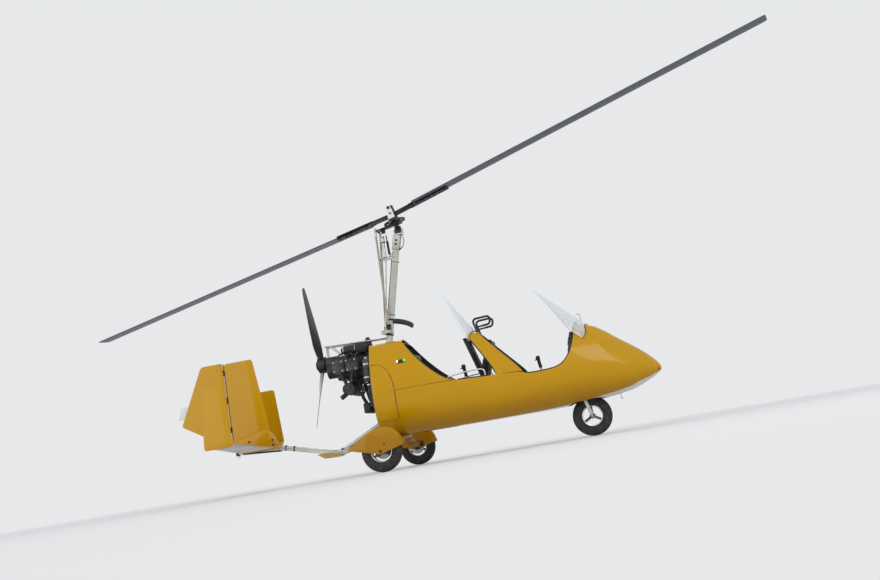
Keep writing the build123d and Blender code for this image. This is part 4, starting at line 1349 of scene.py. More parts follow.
class GYRO_OT_lights(bpy.types.Operator):
    """Position lights on the cowl's sides"""

    bl_idname = "gyro.lights"
    bl_label = "Position lights"

    def execute(self, context):
        green = lamp_lens("green_lens", (0.02, 0.75, 0.06), 1.6)
        red = lamp_lens("red_lens", (0.8, 0.02, 0.02), 1.2)
        white = lamp_lens("white_lens", (0.92, 0.92, 0.88), 1.6)
        seat = moulded_black("lamp_seat")
        seats, whites = [], []
        for side, lens in ((-1, green), (1, red)):
            row = row_at(-0.075)
            share = share_at(row, 1.068)
            front = skin_point(-0.04, share, side, 0.01)
            rear = skin_point(-0.11, share, side, 0.008)
            out = skin_point(-0.04, share, side, 0.02) - skin_point(-0.04, share, side, 0.0)
            out.normalize()
            lens_piece = turned_part([
                (-0.006, POLE), (-0.006, 0.014), (0.002, 0.0145), (0.01, 0.012), (0.0155, 0.007),
                (0.0175, POLE)], front, out, sides=32)
            finished(lens_piece, "green_lamp" if side < 0 else "red_lamp", lens, slot="nav_lens")
            whites.append(turned_part([
                (-0.006, POLE), (-0.006, 0.0135), (0.006, 0.0135), (0.0115, 0.009),
                (0.0135, POLE)], rear, out, sides=28))
            middle = skin_point(-0.075, share, side, 0.003)
            seats.append(bar(
                middle + xyz(0.045, 0, 0), middle - xyz(0.045, 0, 0), 0.017, sides=32, bevel=0.006))
        finished(whites, "white_lamps", white, slot="nav_lens")
        finished(seats, "lamp_seats", seat, replaces=["nav_lights"])
        return {"FINISHED"}


def pad(name, centre, lean, size, cover, channels):
    """A cushion swelled by pressure, then drawn in along its sewn channels."""
    length, width, thick = size
    turn = Matrix.Rotation(lean, 4, "Y")
    piece = block((0, 0, 0), (length - 0.014, width - 0.014, thick - 0.014), bevel=0.016, segments=3)
    apply(piece, "REMESH", mode="VOXEL", voxel_size=0.006)
    swell(piece, 0.012)
    for vertex in piece.data.vertices:
        along, across, out = vertex.co
        press = 0.0
        for lane in channels:
            press = max(press, math.exp(-((across - lane) / 0.0045) ** 2))
        if abs(along) < length * 0.3:
            press = max(press, 0.8 * math.exp(-((abs(along) - length * 0.16) / 0.0045) ** 2))
        side = max(0.0, 1 - (max(abs(across) / (width / 2), abs(along) / (length / 2)) / 0.93) ** 14)
        if out > 0:
            vertex.co.z = out - press * side * 0.0075
        pinch = math.exp(-(out / 0.004) ** 2) * 0.004
        vertex.co.x -= math.copysign(pinch, along) if abs(along) > length * 0.44 else 0
        vertex.co.y -= math.copysign(pinch, across) if abs(across) > width * 0.44 else 0
    piece.data.transform(Matrix.Translation(Vector(centre)) @ turn)
    finished(piece, name, cover, slot="seat_cover", angle=80)


def swell(piece, cap):
    """Blows the cushion up a little, no point further than the cap."""
    scene = bpy.context.scene
    start = [vertex.co.copy() for vertex in piece.data.vertices]
    only(piece)
    cloth = piece.modifiers.new("cloth", "CLOTH")
    cloth.settings.quality = 4
    cloth.settings.use_pressure = True
    cloth.settings.uniform_pressure_force = 4.0
    cloth.settings.effector_weights.gravity = 0.0
    cloth.point_cache.frame_start = 1
    cloth.point_cache.frame_end = 20
    for step in range(1, 21):
        scene.frame_set(step)
    swelled = piece.evaluated_get(bpy.context.evaluated_depsgraph_get()).to_mesh()
    ends = [vertex.co.copy() for vertex in swelled.vertices]
    piece.modifiers.remove(cloth)
    scene.frame_set(1)
    for vertex, before, after in zip(piece.data.vertices, start, ends):
        move = after - before
        if move.length > cap:
            move = move.normalized() * cap
        vertex.co = before + move


def pan(line, half, curl, thick=0.008):
    """A moulded shell along a side-view line, its sides curled forwards."""
    path = smooth_line(line, 3)
    count = len(path) - 1

    def place(u, v):
        k = round(u * count)
        x, z = path[k]
        before, after = path[max(k - 1, 0)], path[min(k + 1, count)]
        way = xyz(after[0] - before[0], 0, after[1] - before[1]).normalized()
        out = xyz(way.z, 0, -way.x)
        across = 2 * v - 1
        lift = curl * max(0.0, (abs(across) - 0.72) / 0.28) ** 1.8
        return xyz(x, half * across, z) + out * lift

    piece = surface(count, 36, place)
    apply(piece, "SOLIDIFY", thickness=thick, offset=0.0)
    return eased(piece, 0.002)


def harness(name, face, belt_z, bight, reach, webbing, metal):
    """Shoulder straps down the back pad, a lap strap and the buckle."""
    straps, fittings = [], []
    top, low = face
    out = xyz(top[1] - low[1], 0, low[0] - top[0]).normalized()
    hub = xyz(bight + 0.1, 0, belt_z)
    for side in SIDES:
        first = xyz(top[0], side * 0.065, top[1])
        rows = [
            (first - out * 0.06 - xyz(0, 0, 0.1), -out),
            (first - out * 0.05 + xyz(0, 0, 0.018), (out * -0.4 + xyz(0, 0, 1))),
            (first + out * 0.006 + xyz(0, 0, 0.02), (out * 0.4 + xyz(0, 0, 1))),
            (first + out * 0.026 - xyz(0, 0, 0.06), out)]
        for share in (0.35, 0.65, 0.9):
            spot = xyz(top[0], side * (0.065 - 0.03 * share), top[1]).lerp(xyz(
                low[0], side * (0.065 - 0.03 * share), low[1]), share)
            rows.append((spot + out * 0.026, out))
        rows.append((hub + xyz(-0.012, side * 0.024, 0.014), (out + xyz(0, 0, 0.6))))
        straps.append(ribbon(rows, 0.044))
        lap = [
            (xyz(bight - 0.02, side * reach, belt_z - 0.045), (0, side, 0.1)),
            (xyz(bight + 0.02, side * reach * 0.97, belt_z + 0.005), (0, side, 0.5)),
            (xyz(bight + 0.06, side * reach * 0.72, belt_z + 0.016), (0, side * 0.2, 1)),
            (hub + xyz(0, side * 0.028, 0.004), (0, 0, 1))]
        straps.append(ribbon(lap, 0.046))
        adjust = xyz(top[0], side * 0.052, top[1]).lerp(xyz(low[0], side * 0.052, low[1]), 0.42)
        fittings.append(block(
            adjust + out * 0.029, (0.006, 0.056, 0.03), bevel=0.002, turn=(0, -math.atan2(out.z, out.x), 0)))
    fittings.append(turned_part([
        (-0.006, POLE), (-0.006, 0.027), (0.006, 0.027), (0.009, 0.024), (0.009, 0.013), (0.012, 0.012),
        (0.012, POLE)], hub, (0, 0, 1), 40))
    finished(straps, f"{name}_harness", webbing, slot="seat_cover", angle=60)
    finished(fittings, f"{name}_buckles", metal, slot="alloy")


def headrest():
    """Padded bar that stands forward from the mast over the rear seat."""
    skin = moulded_black("headrest_skin", (0.017, 0.017, 0.018), 0.62, 420.0)
    line = [(-0.152, 1.53), (-0.06, 1.508), (0.02, 1.47), (0.052, 1.44)]
    path = smooth_line(line, 2)
    count = len(path) - 1

    def place(u, v):
        k = round(v * count)
        x, z = path[k]
        end = math.sqrt(max(0.0, 1 - (2 * k / count - 1) ** 10))
        a = 2 * math.pi * u
        half_y, half_z = 0.058 * end, 0.027 * end
        y = half_y * squared(math.cos(a), 0.6)
        up = half_z * squared(math.sin(a), 0.6)
        return xyz(x + up * 0.4, y, z + up * 0.92)

    roll = settle(surface(40, count, place), 0.0004)
    apply(roll, "SMOOTH", factor=0.5, iterations=3)
    finished(roll, "headrest_roll", skin, slot="seat_cover", replaces=["headrest"], angle=70)


class GYRO_OT_seats(bpy.types.Operator):
    """Padded seats on moulded shells, with their harnesses"""

    bl_idname = "gyro.seats"
    bl_label = "Seats and harnesses"

    def execute(self, context):
        cover = woven_cover("seat_weave", (0.021, 0.021, 0.024))
        edge = moulded_black("seat_shell_black", (0.02, 0.02, 0.021), 0.5, 500.0)
        metal = brushed_metal("buckle_steel", (0.55, 0.55, 0.54), 0.3)
        webbing = Finish("harness_webbing", (0.028, 0.029, 0.033), 0.8)
        x, y, z = webbing.axes()
        weave = abs(((y + z * 0.7) * 3200.0).sine() * ((z - x) * 2600.0).sine())
        webbing.set("Base Color", webbing.mix(weave, (0.016, 0.016, 0.019), (0.06, 0.062, 0.07)))
        webbing.bump(weave, 0.0006, 0.6)
        lanes = (-0.092, -0.031, 0.031, 0.092)
        pad("front_base_pad", (1.083, 0, 0.487), math.radians(-6.2), (0.35, 0.35, 0.074), cover, lanes)
        pad("front_back_pad", (0.742, 0, 0.85), math.radians(-71.8), (0.64, 0.35, 0.064), cover, lanes)
        pad("rear_base_pad", (0.262, 0, 0.582), math.radians(-5.6), (0.39, 0.39, 0.074), cover, lanes)
        pad("rear_back_pad", (-0.022, 0, 0.885), math.radians(-79.4), (0.54, 0.39, 0.056), cover, lanes)
        front = [
            (0.604, 1.196), (0.69, 0.9), (0.752, 0.68), (0.832, 0.448), (0.93, 0.42), (1.19, 0.432),
            (1.262, 0.47)]
        rear = [
            (-0.074, 1.184), (-0.058, 0.86), (-0.046, 0.64), (0.0, 0.548), (0.11, 0.53), (0.38, 0.556),
            (0.464, 0.592)]
        pans = [pan(front, 0.188, 0.03), pan(rear, 0.212, 0.03)]
        pans += [block((1.03, side * 0.136, 0.384), (0.26, 0.06, 0.066), bevel=0.008) for side in SIDES]
        pans.append(block((0.19, 0, 0.494), (0.54, 0.4, 0.072), bevel=0.014, segments=3))
        finished(pans, "seat_shells", edge, replaces=["front_seat", "rear_seat"], angle=40)
        harness("front", ((0.668, 1.188), (0.872, 0.585)), 0.56, 0.93, 0.182, webbing.material, metal)
        harness("rear", ((-0.046, 1.165), (0.062, 0.68)), 0.662, 0.085, 0.2, webbing.material, metal)
        headrest()
        return {"FINISHED"}


def panel_spot(y, up):
    """A place on the instrument panel's rear face: up is 0 at its foot and 1 at its top."""
    return xyz(1.6 + 0.05 * up - 0.0006, y, 0.83 + 0.23 * up)


def dials(bezel, face, needle, glass):
    """Six round instruments with bezels, faces, marks and glasses."""
    side = xyz(0, 1, 0)
    rings, faces, marks, covers = [], [], [], []
    for y, up, radius in (
            (-0.15, 0.66, 0.034), (-0.15, 0.24, 0.027), (0.15, 0.66, 0.034), (0.15, 0.24, 0.027),
            (-0.215, 0.5, 0.02), (0.215, 0.5, 0.02)):
        at = panel_spot(y, up)
        rings.append(turned_part([
            (0.0, radius), (0.006, radius), (0.0075, radius * 0.96), (0.0075, radius * 0.88),
            (0.003, radius * 0.85), (0.0, radius * 0.85), (0.0, radius)], at, PANEL_BACK, 48))
        faces.append(turned_part([
            (0.0006, POLE), (0.0006, radius * 0.86), (0.0, radius * 0.86)], at, PANEL_BACK, 40))
        covers.append(turned_part([
            (0.005, POLE), (0.005, radius * 0.87), (0.0044, radius * 0.87)], at, PANEL_BACK, 32))
        for k in range(21):
            angle = math.radians(-130 + 13 * k)
            way = side * math.sin(angle) + PANEL_RISE * math.cos(angle)
            long = 0.7 if k % 5 else 0.6
            start, end = at + way * radius * long, at + way * radius * 0.8
            marks.append(bar(start + PANEL_BACK * 0.0012, end + PANEL_BACK * 0.0012, 0.0006, sides=4, bevel=0))
        angle = math.radians(-60 + 40 * (y > 0) + 55 * up)
        way = side * math.sin(angle) + PANEL_RISE * math.cos(angle)
        marks += [
            bar(
                at - way * radius * 0.15 + PANEL_BACK * 0.0022, at + way * radius * 0.68 + PANEL_BACK * 0.0022,
                0.0011, sides=6, bevel=0, cone=0.0004),
            bar(at, at + PANEL_BACK * 0.0035, 0.0028, sides=16, bevel=0.0005)]
    finished(rings, "dial_bezels", bezel)
    finished(faces, "dial_faces", face)
    finished(marks, "dial_marks", needle)
    finished(covers, "dial_glasses", glass, slot="clear_sheet")


def screen(bezel, glow):
    """Two flat displays in their frames, over a row of switches."""
    lean = math.radians(12.26)
    parts = []
    for y in (-0.055, 0.055):
        at = panel_spot(y, 0.62)
        parts.append(block(at + PANEL_BACK * 0.004, (0.01, 0.1, 0.092), bevel=0.004, turn=(0, lean, 0)))
    for k in range(7):
        at = panel_spot(-0.072 + 0.024 * k, 0.16)
        parts += [
            bar(at, at + PANEL_BACK * 0.004, 0.0055, sides=6, bevel=0.0006),
            bar(at + PANEL_BACK * 0.003, at + PANEL_BACK * 0.015 + xyz(0, 0, -0.004), 0.0018, sides=10)]
    finished(parts, "panel_display_frames", bezel)
    screens = []
    for y in (-0.055, 0.055):
        at = panel_spot(y, 0.62)
        screens.append(block(at + PANEL_BACK * 0.0088, (0.0014, 0.084, 0.074), bevel=0.0006, turn=(0, lean, 0)))
    finished(screens, "panel_display_glass", glow)


def controls(grip, steel):
    """Sticks with grips, levers and pedals for both places."""
    grips, rods = [], []
    for x, floor, top in ((1.33, 0.38, 0.8), (0.555, 0.4, 0.85)):
        rods += [
            pipe([
                (x + 0.02, 0, floor), (x + 0.02, 0, floor + 0.16), (x - 0.035, 0, top - 0.13),
                (x - 0.035, 0, top)], 0.0095),
            turned_part(
                [(0, POLE), (0, 0.034), (0.012, 0.032), (0.03, 0.017), (0.06, 0.0105), (0.06, POLE)],
                (x + 0.02, 0, floor - 0.012), (0, 0, 1), 32)]
        grips += [
            turned_part(
                [
                    (0, POLE), (0, 0.017), (0.004, 0.019), (0.018, 0.0165), (0.032, 0.018), (0.046, 0.0165),
                    (0.06, 0.018), (0.074, 0.0165), (0.092, 0.021), (0.11, 0.023), (0.122, 0.018),
                    (0.126, POLE)],
                (x - 0.035, 0, top - 0.03), (-0.12, 0, 1), 32),
            block((x - 0.072, 0, top + 0.055), (0.022, 0.012, 0.012))]
    rods.append(pipe([(1.18, 0.265, 0.56), (1.19, 0.268, 0.6), (1.15, 0.268, 0.68)], 0.007))
    grips.append(turned_part(
        [(0, POLE), (0, 0.012), (0.008, 0.017), (0.03, 0.017), (0.036, 0.012), (0.036, POLE)],
        (1.155, 0.268, 0.672), (-0.45, 0, 0.9), 24))
    for x, low, high, wide in ((1.985, 0.47, 0.59, 0.085), (0.7, 0.43, 0.53, 0.2)):
        for side in SIDES:
            foot = xyz(x, side * wide, low)
            head = xyz(x + 0.02, side * wide, high)
            rods.append(bar(foot, head, 0.007))
            grips.append(block(head, (0.01, 0.08, 0.052), bevel=0.004, turn=(0, math.radians(12), 0)))
            rods += [
                bar(
                    head + xyz(-0.0065, -0.032, -0.014 + 0.014 * k),
                    head + xyz(-0.0065, 0.032, -0.014 + 0.014 * k), 0.0022, sides=8)
                for k in range(3)]
        rods.append(bar((x, -wide - 0.03, low), (x, wide + 0.03, low), 0.009))
    finished(grips, "control_grips", grip, angle=60)
    finished(rods, "control_rods", steel, slot="alloy")


def edges(rubber):
    """Rubber trims on the mouldings' free edges."""
    trims = []
    rim = smooth_line(TUB_RIM, 2)
    half_wall = bpy.context.scene.gyro_sizes.wall / 2
    spans = ([p for p in rim if 0.458 < p[0] < 0.868], [p for p in rim if p[0] > 1.142 and p[1] < 1.12])
    for span in spans:
        for side in SIDES:
            points = [
                skin_point(x, share_at(row_at(x), z), side, -half_wall) + xyz(0, 0, 0.001) for x, z in span]
            trims.append(pipe(points[::2] + [points[-1]], 0.0078))
    for line, lowest, nudge in ((COWL_EDGE, 0.8, 0.002), (HUMP_REAR, 0.78, -0.002), (HUMP_FRONT, 0.77, 0.002)):
        for side in SIDES:
            run = [p for p in smooth_line(line, 3) if p[1] > lowest]
            half = []
            for x, z in run:
                row = row_at(x)
                if z < row[4] - 0.001:
                    half.append(skin_point(x + nudge, share_at(row, z), side, -half_wall))
            points = [*half[::2]] if side < 0 else [*points, *reversed(half[::2])]
        trims.append(pipe(points, 0.0074))
    finished(trims, "edge_trims", rubber, angle=60)


def rails(steel):
    """Light curved rails beside the rear place."""
    parts = []
    for side in SIDES:
        parts += [
            pipe(mirrored(
                side, (0.33, 0.333, 0.75), (0.338, 0.331, 0.796), (0.4, 0.327, 0.826), (0.56, 0.322, 0.843),
                (0.7, 0.32, 0.846), (0.748, 0.322, 0.836), (0.76, 0.327, 0.8), (0.76, 0.331, 0.735)), 0.0075),
            block((0.33, side * 0.338, 0.748), (0.034, 0.014, 0.034)),
            block((0.76, side * 0.338, 0.735), (0.034, 0.014, 0.034))]
    finished(parts, "rear_rails", steel, slot="alloy", angle=60)


class GYRO_OT_cockpits(bpy.types.Operator):
    """Instruments, controls, pedals and edge trims"""

    bl_idname = "gyro.cockpits"
    bl_label = "Cockpit fittings"

    def execute(self, context):
        bezel = moulded_black("instrument_bezel", (0.016, 0.016, 0.017), 0.42, 900.0)
        face = moulded_black("dial_black", (0.01, 0.01, 0.011), 0.7, 1200.0)
        needle = Finish("dial_white", (0.8, 0.8, 0.76), 0.5)
        needle.set("Base Color", needle.tone(0.06, needle.noise(200.0)))
        glass = clear_sheet()
        glow = Finish("display_glass", (0.01, 0.016, 0.028), 0.1, coat_weight=1.0)
        glow.set("Base Color", glow.tone(0.4, glow.noise(24.0)))
        grip = moulded_black("grip_rubber", (0.016, 0.016, 0.017), 0.66, 600.0)
        steel = brushed_metal("control_steel", (0.6, 0.6, 0.58), 0.3)
        pale = brushed_metal("pale_rail", (0.78, 0.77, 0.72), 0.34, (30, 1, 1), 0.5)
        rubber = moulded_black("edge_rubber", (0.013, 0.013, 0.014), 0.55)
        dials(bezel, face, needle.material, glass)
        screen(bezel, glow.material)
        controls(grip, steel)
        edges(rubber)
        rails(pale)
        return {"FINISHED"}


class GYRO_OT_body_fittings(bpy.types.Operator):
    """Screws, gaskets, vane, knob and the belly's aerial"""

    bl_idname = "gyro.body_fittings"
    bl_label = "Body fittings"

    def execute(self, context):
        black = moulded_black("gasket_black", (0.008, 0.008, 0.009), 0.6)
        steel = brushed_metal("screw_steel", (0.5, 0.5, 0.48), 0.32, (1, 1, 1))
        gaskets, screws = [], []
        outline = [
            (-0.18, 0.505), (-0.18, 0.8), (-0.188, 0.88), (-0.224, 0.99), (-0.273, 1.047), (-0.33, 1.079),
            (-0.398, 1.08)]
        for side in SIDES:
            line = smooth_line(outline, 2)
            gaskets.append(pipe([skin_point(x, share_at(row_at(x), z), side, 0.0006) for x, z in line], 0.0032))
            for x, z in (
                    (-0.2, 0.56), (-0.2, 0.7), (-0.205, 0.84), (-0.262, 1.012), (-0.385, 0.62), (-0.385, 0.78),
                    (-0.385, 0.94)):
                share = share_at(row_at(x), z)
                at = skin_point(x, share, side, 0.0072)
                way = skin_point(x, share, side, 0.02) - skin_point(x, share, side, 0.0)
                screws.append(bar(at, at + way.normalized() * 0.0016, 0.0052, sides=20, bevel=0.0006))
            for x, z in ((-0.3, 0.8), (-0.1, 0.8), (0.1, 0.8), (0.3, 0.8), (0.9, 0.785), (1.07, 0.778)):
                share = share_at(row_at(x), z)
                at = skin_point(x, share, side, 0.0002)
                way = skin_point(x, share, side, 0.02) - skin_point(x, share, side, 0.0)
                screws.append(bar(at, at + way.normalized() * 0.0014, 0.0048, sides=20, bevel=0.0006))
        fittings = [
            pipe([
                (1.782, 0, deck_height(1.782, 0) - 0.004), (1.782, 0, 1.205), (1.779, 0, 1.24),
                (1.742, 0, 1.238)], 0.0022, order=2),
            turned_part(
                [(0, POLE), (0, 0.011), (0.006, 0.01), (0.01, 0.005), (0.01, POLE)],
                (1.782, 0, deck_height(1.782, 0) - 0.002), (0, 0, 1), 24),
            turned_part(
                [
                    (0, POLE), (0, 0.026), (0.01, 0.026), (0.016, 0.021), (0.03, 0.019), (0.038, 0.013),
                    (0.041, POLE)],
                (1.722, 0, deck_height(1.722, 0) - 0.004), (0, 0, 1), 32),
            bar((2.04, 0, 0.378), (2.036, 0, 0.322), 0.0028),
            bar((2.036, 0, 0.322), (2.062, 0, 0.322), 0.0024),
            turned_part(
                [
                    (-0.004, POLE), (-0.004, 0.012), (0.0016, 0.012), (0.0016, 0.008), (-0.002, 0.007),
                    (-0.002, POLE)],
                skin_point(2.448, 0.4, -1), skin_point(2.448, 0.4, -1, 0.02) - skin_point(2.448, 0.4, -1), 24)]
        finished(gaskets, "panel_gaskets", black)
        finished(screws, "body_screws", steel, slot="dark_steel")
        finished(fittings, "deck_and_belly_fittings", black)
        return {"FINISHED"}


def clamp(at, way, radius):
    """A worm-drive clamp on a hose."""
    at, way = Vector(at), Vector(way).normalized()
    out = way.orthogonal().normalized()
    return [
        ring(at, way, -0.005, 0.005, radius, radius + 0.0012, 32),
        block(at + out * (radius + 0.004), (0.008, 0.014, 0.007), bevel=0.0012)]


def exhaust_details(steel):
    """Flanges at the heads, bands and end seams on the muffler, and its springs."""
    skin = cast_metal("muffler_bands", (0.09, 0.08, 0.072), 0.5, 0.7)
    parts, springs = [], []
    for y in (-0.232, 0.232):
        side = math.copysign(1, y)
        parts.append(turned_part(
            [(0, POLE), (0, 0.06), (0.004, 0.064), (-0.01, 0.064), (-0.01, 0.0622)],
            (MUFFLER[0], y, MUFFLER[1]), (0, side, 0), 56))
    parts += [
        ring((MUFFLER[0], y, MUFFLER[1]), (0, 1, 0), -0.008, 0.008, 0.0622, 0.064, 56) for y in (-0.12, 0.12)]
    for x in (-0.6, -0.74):
        for side in SIDES:
            parts.append(ring((x, side * 0.254, 1.0545), (0, 0, 1), 0, 0.007, 0.018, 0.03, 32))
            start = xyz(x * 0.6 - 0.68 * 0.4, side * 0.24, 0.985)
            turns = []
            for k in range(64):
                angle = 2 * math.pi * k / 8
                turns.append(start + xyz(0.006 * math.cos(angle), 0.006 * math.sin(angle), 0.0009 * k - 0.03))
            springs.append(pipe(turns, 0.0011, sides=2))
    finished(parts, "muffler_bands", skin, slot="exhaust_steel")
    finished(springs, "muffler_springs", steel, slot="alloy", angle=60)


def radiator(black, steel):
    """Side tanks and the stacked cooling rows."""
    parts, rows = [], []
    parts += [
        block((-0.458, side * 0.204, 0.78), (0.052, 0.03, 0.228), bevel=0.008, segments=3) for side in SIDES]
    parts += [block((-0.458, 0, z), (0.05, 0.4, 0.01)) for z in (0.673, 0.887)]
    rows += [block((-0.4815, 0, 0.684 + 0.0084 * k), (0.003, 0.38, 0.003), bevel=0.0006) for k in range(24)]
    finished(parts, "radiator_tanks", black)
    finished(rows, "radiator_rows", steel, slot="engine_alloy")


class GYRO_OT_engine_details(bpy.types.Operator):
    """Plugs, leads, hoses, clamps and covers on the engine"""

    bl_idname = "gyro.engine_details"
    bl_label = "Engine details"

    def execute(self, context):
        black = moulded_black("engine_plastic", (0.012, 0.012, 0.013), 0.5)
        hose = moulded_black("hose_rubber", (0.014, 0.014, 0.015), 0.62, 300.0)
        steel = brushed_metal("clamp_steel", (0.52, 0.52, 0.5), 0.3, (1, 1, 1))
        cast = cast_metal("cover_casting", (0.1, 0.1, 0.105), 0.48)
        pale = brushed_metal("pale_strut", (0.78, 0.77, 0.72), 0.36, (1, 1, 30), 0.6)
        lead = moulded_black("plug_lead", (0.02, 0.018, 0.018), 0.5)
        covers, bolts, leads, boots, clamps, boxes = [], [], [], [], [], []
        for x in (-0.6, -0.74):
            for side in SIDES:
                covers += [
                    block((x, side * 0.2945, HEADS_Z), (0.112, 0.012, 0.116), bevel=0.005, segments=3),
                    block((x, side * 0.299, HEADS_Z), (0.06, 0.01, 0.07), bevel=0.004)]
                bolts += [
                    bolt((x + dx, side * 0.3005, HEADS_Z + dz), (0, side, 0), 0.006, 0.005)
                    for dx in (-0.045, 0.045) for dz in (-0.047, 0.047)]
                for dz, up in ((0.068, 1), (-0.068, -1)):
                    foot = xyz(x + 0.018, side * 0.258, HEADS_Z + dz)
                    boots += [
                        bar(foot, foot + xyz(0, 0, up * 0.016), 0.009, sides=6),
                        bar(foot + xyz(0, 0, up * 0.014), foot + xyz(0, 0, up * 0.044), 0.0075, cone=0.006)]
                    ends = [
                        foot + xyz(0, 0, up * 0.04), foot + xyz(0.004, side * 0.01, up * 0.072),
                        xyz(x + 0.05, side * 0.215, HEADS_Z + up * 0.13),
                        xyz(x + 0.085, side * 0.12, HEADS_Z + (0.165 if up > 0 else -0.135)),
                        xyz(-0.56, side * 0.062, HEADS_Z + (0.15 if up > 0 else -0.128))]
                    leads.append(pipe(ends, 0.0038))
        for side in SIDES:
            boxes += [
                block((-0.535, side * 0.048, 1.281), (0.105, 0.07, 0.045), bevel=0.006, segments=3),
                block((-0.622, side * FILTER[0], 1.253), (0.052, 0.052, 0.03), bevel=0.008, segments=3),
                bar(
                    (-0.69, side * FILTER[0], FILTER[1]), (-0.714, side * FILTER[0], FILTER[1]), 0.03,
                    bevel=0.004)]
            profile = [
                (0.0, POLE), (0.0, 0.052), (0.004, 0.0565), (0.094, 0.0565), (0.099, 0.052), (0.099, POLE)]
            gauze = turned_part(profile, (-0.5545, side * FILTER[0], FILTER[1]), (1, 0, 0), 144)
            for vertex in gauze.data.vertices:
                out = xyz(0, vertex.co.y - side * FILTER[0], vertex.co.z - FILTER[1])
                if out.length > 0.054:
                    wave = 1 - 0.055 * (0.5 + 0.5 * math.cos(36 * math.atan2(out.z, out.y)))
                    vertex.co.y = side * FILTER[0] + out.y * wave
                    vertex.co.z = FILTER[1] + out.z * wave
            boxes.append(gauze)
            clamps += clamp((-0.5575, side * FILTER[0], FILTER[1]), (1, 0, 0), 0.0445)
            clamps += clamp((-0.685, side * FILTER[0], FILTER[1]), (1, 0, 0), 0.0445)
        hoses = []
        for side in SIDES:
            hoses.append(pipe(mirrored(
                side, (-0.545, 0.2, 1.1), (-0.505, 0.2, 1.08), (-0.5, 0.185, 0.98), (-0.455, 0.165, 0.93),
                (-0.455, 0.165, 0.88)), 0.0145))
            clamps += clamp((-0.455, side * 0.165, 0.905), (0, 0, 1), 0.0148)
            hoses += [
                pipe(mirrored(
                    side, (-0.56, 0.25, 1.2), (-0.545, 0.24, 1.245), (-0.5, 0.15, 1.262),
                    (-0.455, 0.06, FILTER[1]), (-0.455, 0.03, 1.345)), 0.0115),
                pipe(mirrored(
                    side, (-0.66, 0.14, 1.25), (-0.665, 0.09, 1.275), (-0.6, 0.04, 1.292),
                    (-0.5, 0.01, 1.268)), 0.0055),
                pipe(mirrored(
                    side, (-0.79, 0.08, 1.262), (-0.7, 0.075, 1.285), (-0.6, 0.09, 1.29), (-0.48, 0.105, 1.26),
                    (-0.43, 0.11, 1.16), (-0.415, 0.11, 1.06)), 0.006),
                pipe(mirrored(
                    side, (-0.8, 0.12, 1.06), (-0.74, 0.14, 1.015), (-0.62, 0.13, 0.99), (-0.5, 0.12, 0.96),
                    (-0.44, 0.115, 0.905)), 0.0085)]
        hoses += [
            pipe([
                (*TANK, 0.932), (-0.47, -0.205, 0.905), (-0.54, -0.17, 0.93), (-0.6, -0.1, 0.99),
                (-0.62, -0.06, 1.01)], 0.0095),
            pipe([
                (-0.44, -0.19, 1.16), (-0.44, -0.185, 1.195), (-0.47, -0.14, 1.225),
                (-0.52, -0.1, 1.225)], 0.0085)]
        # Painted shade in part: these thick black hoses run down to the oil cooler below, which fills the
        # engine bay's deep shade.
        for side in SIDES:
            hoses.append(pipe(mirrored(
                side, (-0.6, 0.11, 0.985), (-0.585, 0.125, 0.93), (-0.572, 0.135, 0.83), (-0.56, 0.13, 0.76),
                (-0.535, 0.12, 0.715)), 0.0185))
            clamps += clamp((-0.5725, side * 0.1345, 0.85), (0.1, 0, 1), 0.0188)
        # Painted shade: the black oil cooler and its fins are a guessed part that fills the deep shade low in
        # the engine bay.
        boxes.append(block((-0.53, 0, 0.668), (0.074, 0.35, 0.104), bevel=0.01, segments=3))
        boxes += [
            block((-0.5685, 0, 0.626 + 0.006 * k), (0.006, 0.31, 0.0028), bevel=0.0008) for k in range(15)]
        boxes += [block((-0.478, side * 0.14, 0.684), (0.05, 0.022, 0.012), bevel=0.002) for side in SIDES]
        bottle = turned_part(
            [
                (0.0, POLE), (0.0, 0.03), (0.006, 0.038), (0.076, 0.038), (0.086, 0.028), (0.09, 0.021),
                (0.104, 0.021), (0.106, 0.018), (0.106, POLE)],
            (-0.455, 0.0, 1.305), (0, 0, 1), 48)
        boxes += [bottle, block((-0.6, 0.0, 0.982), (0.19, 0.17, 0.04), bevel=0.01, segments=3)]
        boxes += [
            block((-0.675 + 0.0135 * k, 0.0, 0.958), (0.004, 0.15, 0.018), bevel=0.001) for k in range(12)]
        covers += [
            bar((-0.8, 0.088, 1.035), (-0.65, 0.088, 1.03), 0.036, sides=40, bevel=0.005),
            bar((-0.8, -0.088, 1.035), (-0.7, -0.088, 1.035), 0.03, sides=40, bevel=0.005)]
        tank = []
        for z in (0.975, 1.11):
            tank += [
                ring((*TANK, z), (0, 0, 1), -0.009, 0.009, 0.0562, 0.058, 56),
                block((-0.412, -0.175, z), (0.05, 0.016, 0.018), turn=(0, 0, 0.6))]
        tank.append(turned_part([
            (0, POLE), (0, 0.04), (0.008, 0.034), (0.012, 0.024), (0.026, 0.024), (0.029, 0.021),
            (0.029, POLE)], (*TANK, 1.1595), (0, 0, 1), 40))
        clamps += tank
        for k in range(10):
            angle = 2 * math.pi * k / 10
            bolts.append(bolt((
                -0.9252, 0.062 * math.sin(angle), 1.205 + 0.062 * math.cos(angle)), (-1, 0, 0), 0.0055, 0.005))
        for k in range(6):
            angle = 2 * math.pi * (k + 0.5) / 6
            bolts.append(bolt((
                -0.9252, 0.072 * math.sin(angle),
                1.12 - 0.062 * abs(math.cos(angle))), (-1, 0, 0), 0.0055, 0.005))
        bolts += [
            bolt((x, side * 0.07, 1.255), (0, 0, 1), 0.008, 0.007) for x in (-0.79, -0.5) for side in SIDES]
        struts = [
            bar((-0.86, -0.058, 1.38), (-0.745, -0.06, 1.262), 0.0075),
            bar((-0.86, 0.058, 1.38), (-0.745, 0.06, 1.262), 0.0075)]
        struts += [block((-0.745, side * 0.06, 1.258), (0.03, 0.024, 0.014)) for side in SIDES]
        finished(covers, "engine_covers", cast, slot="engine_alloy")
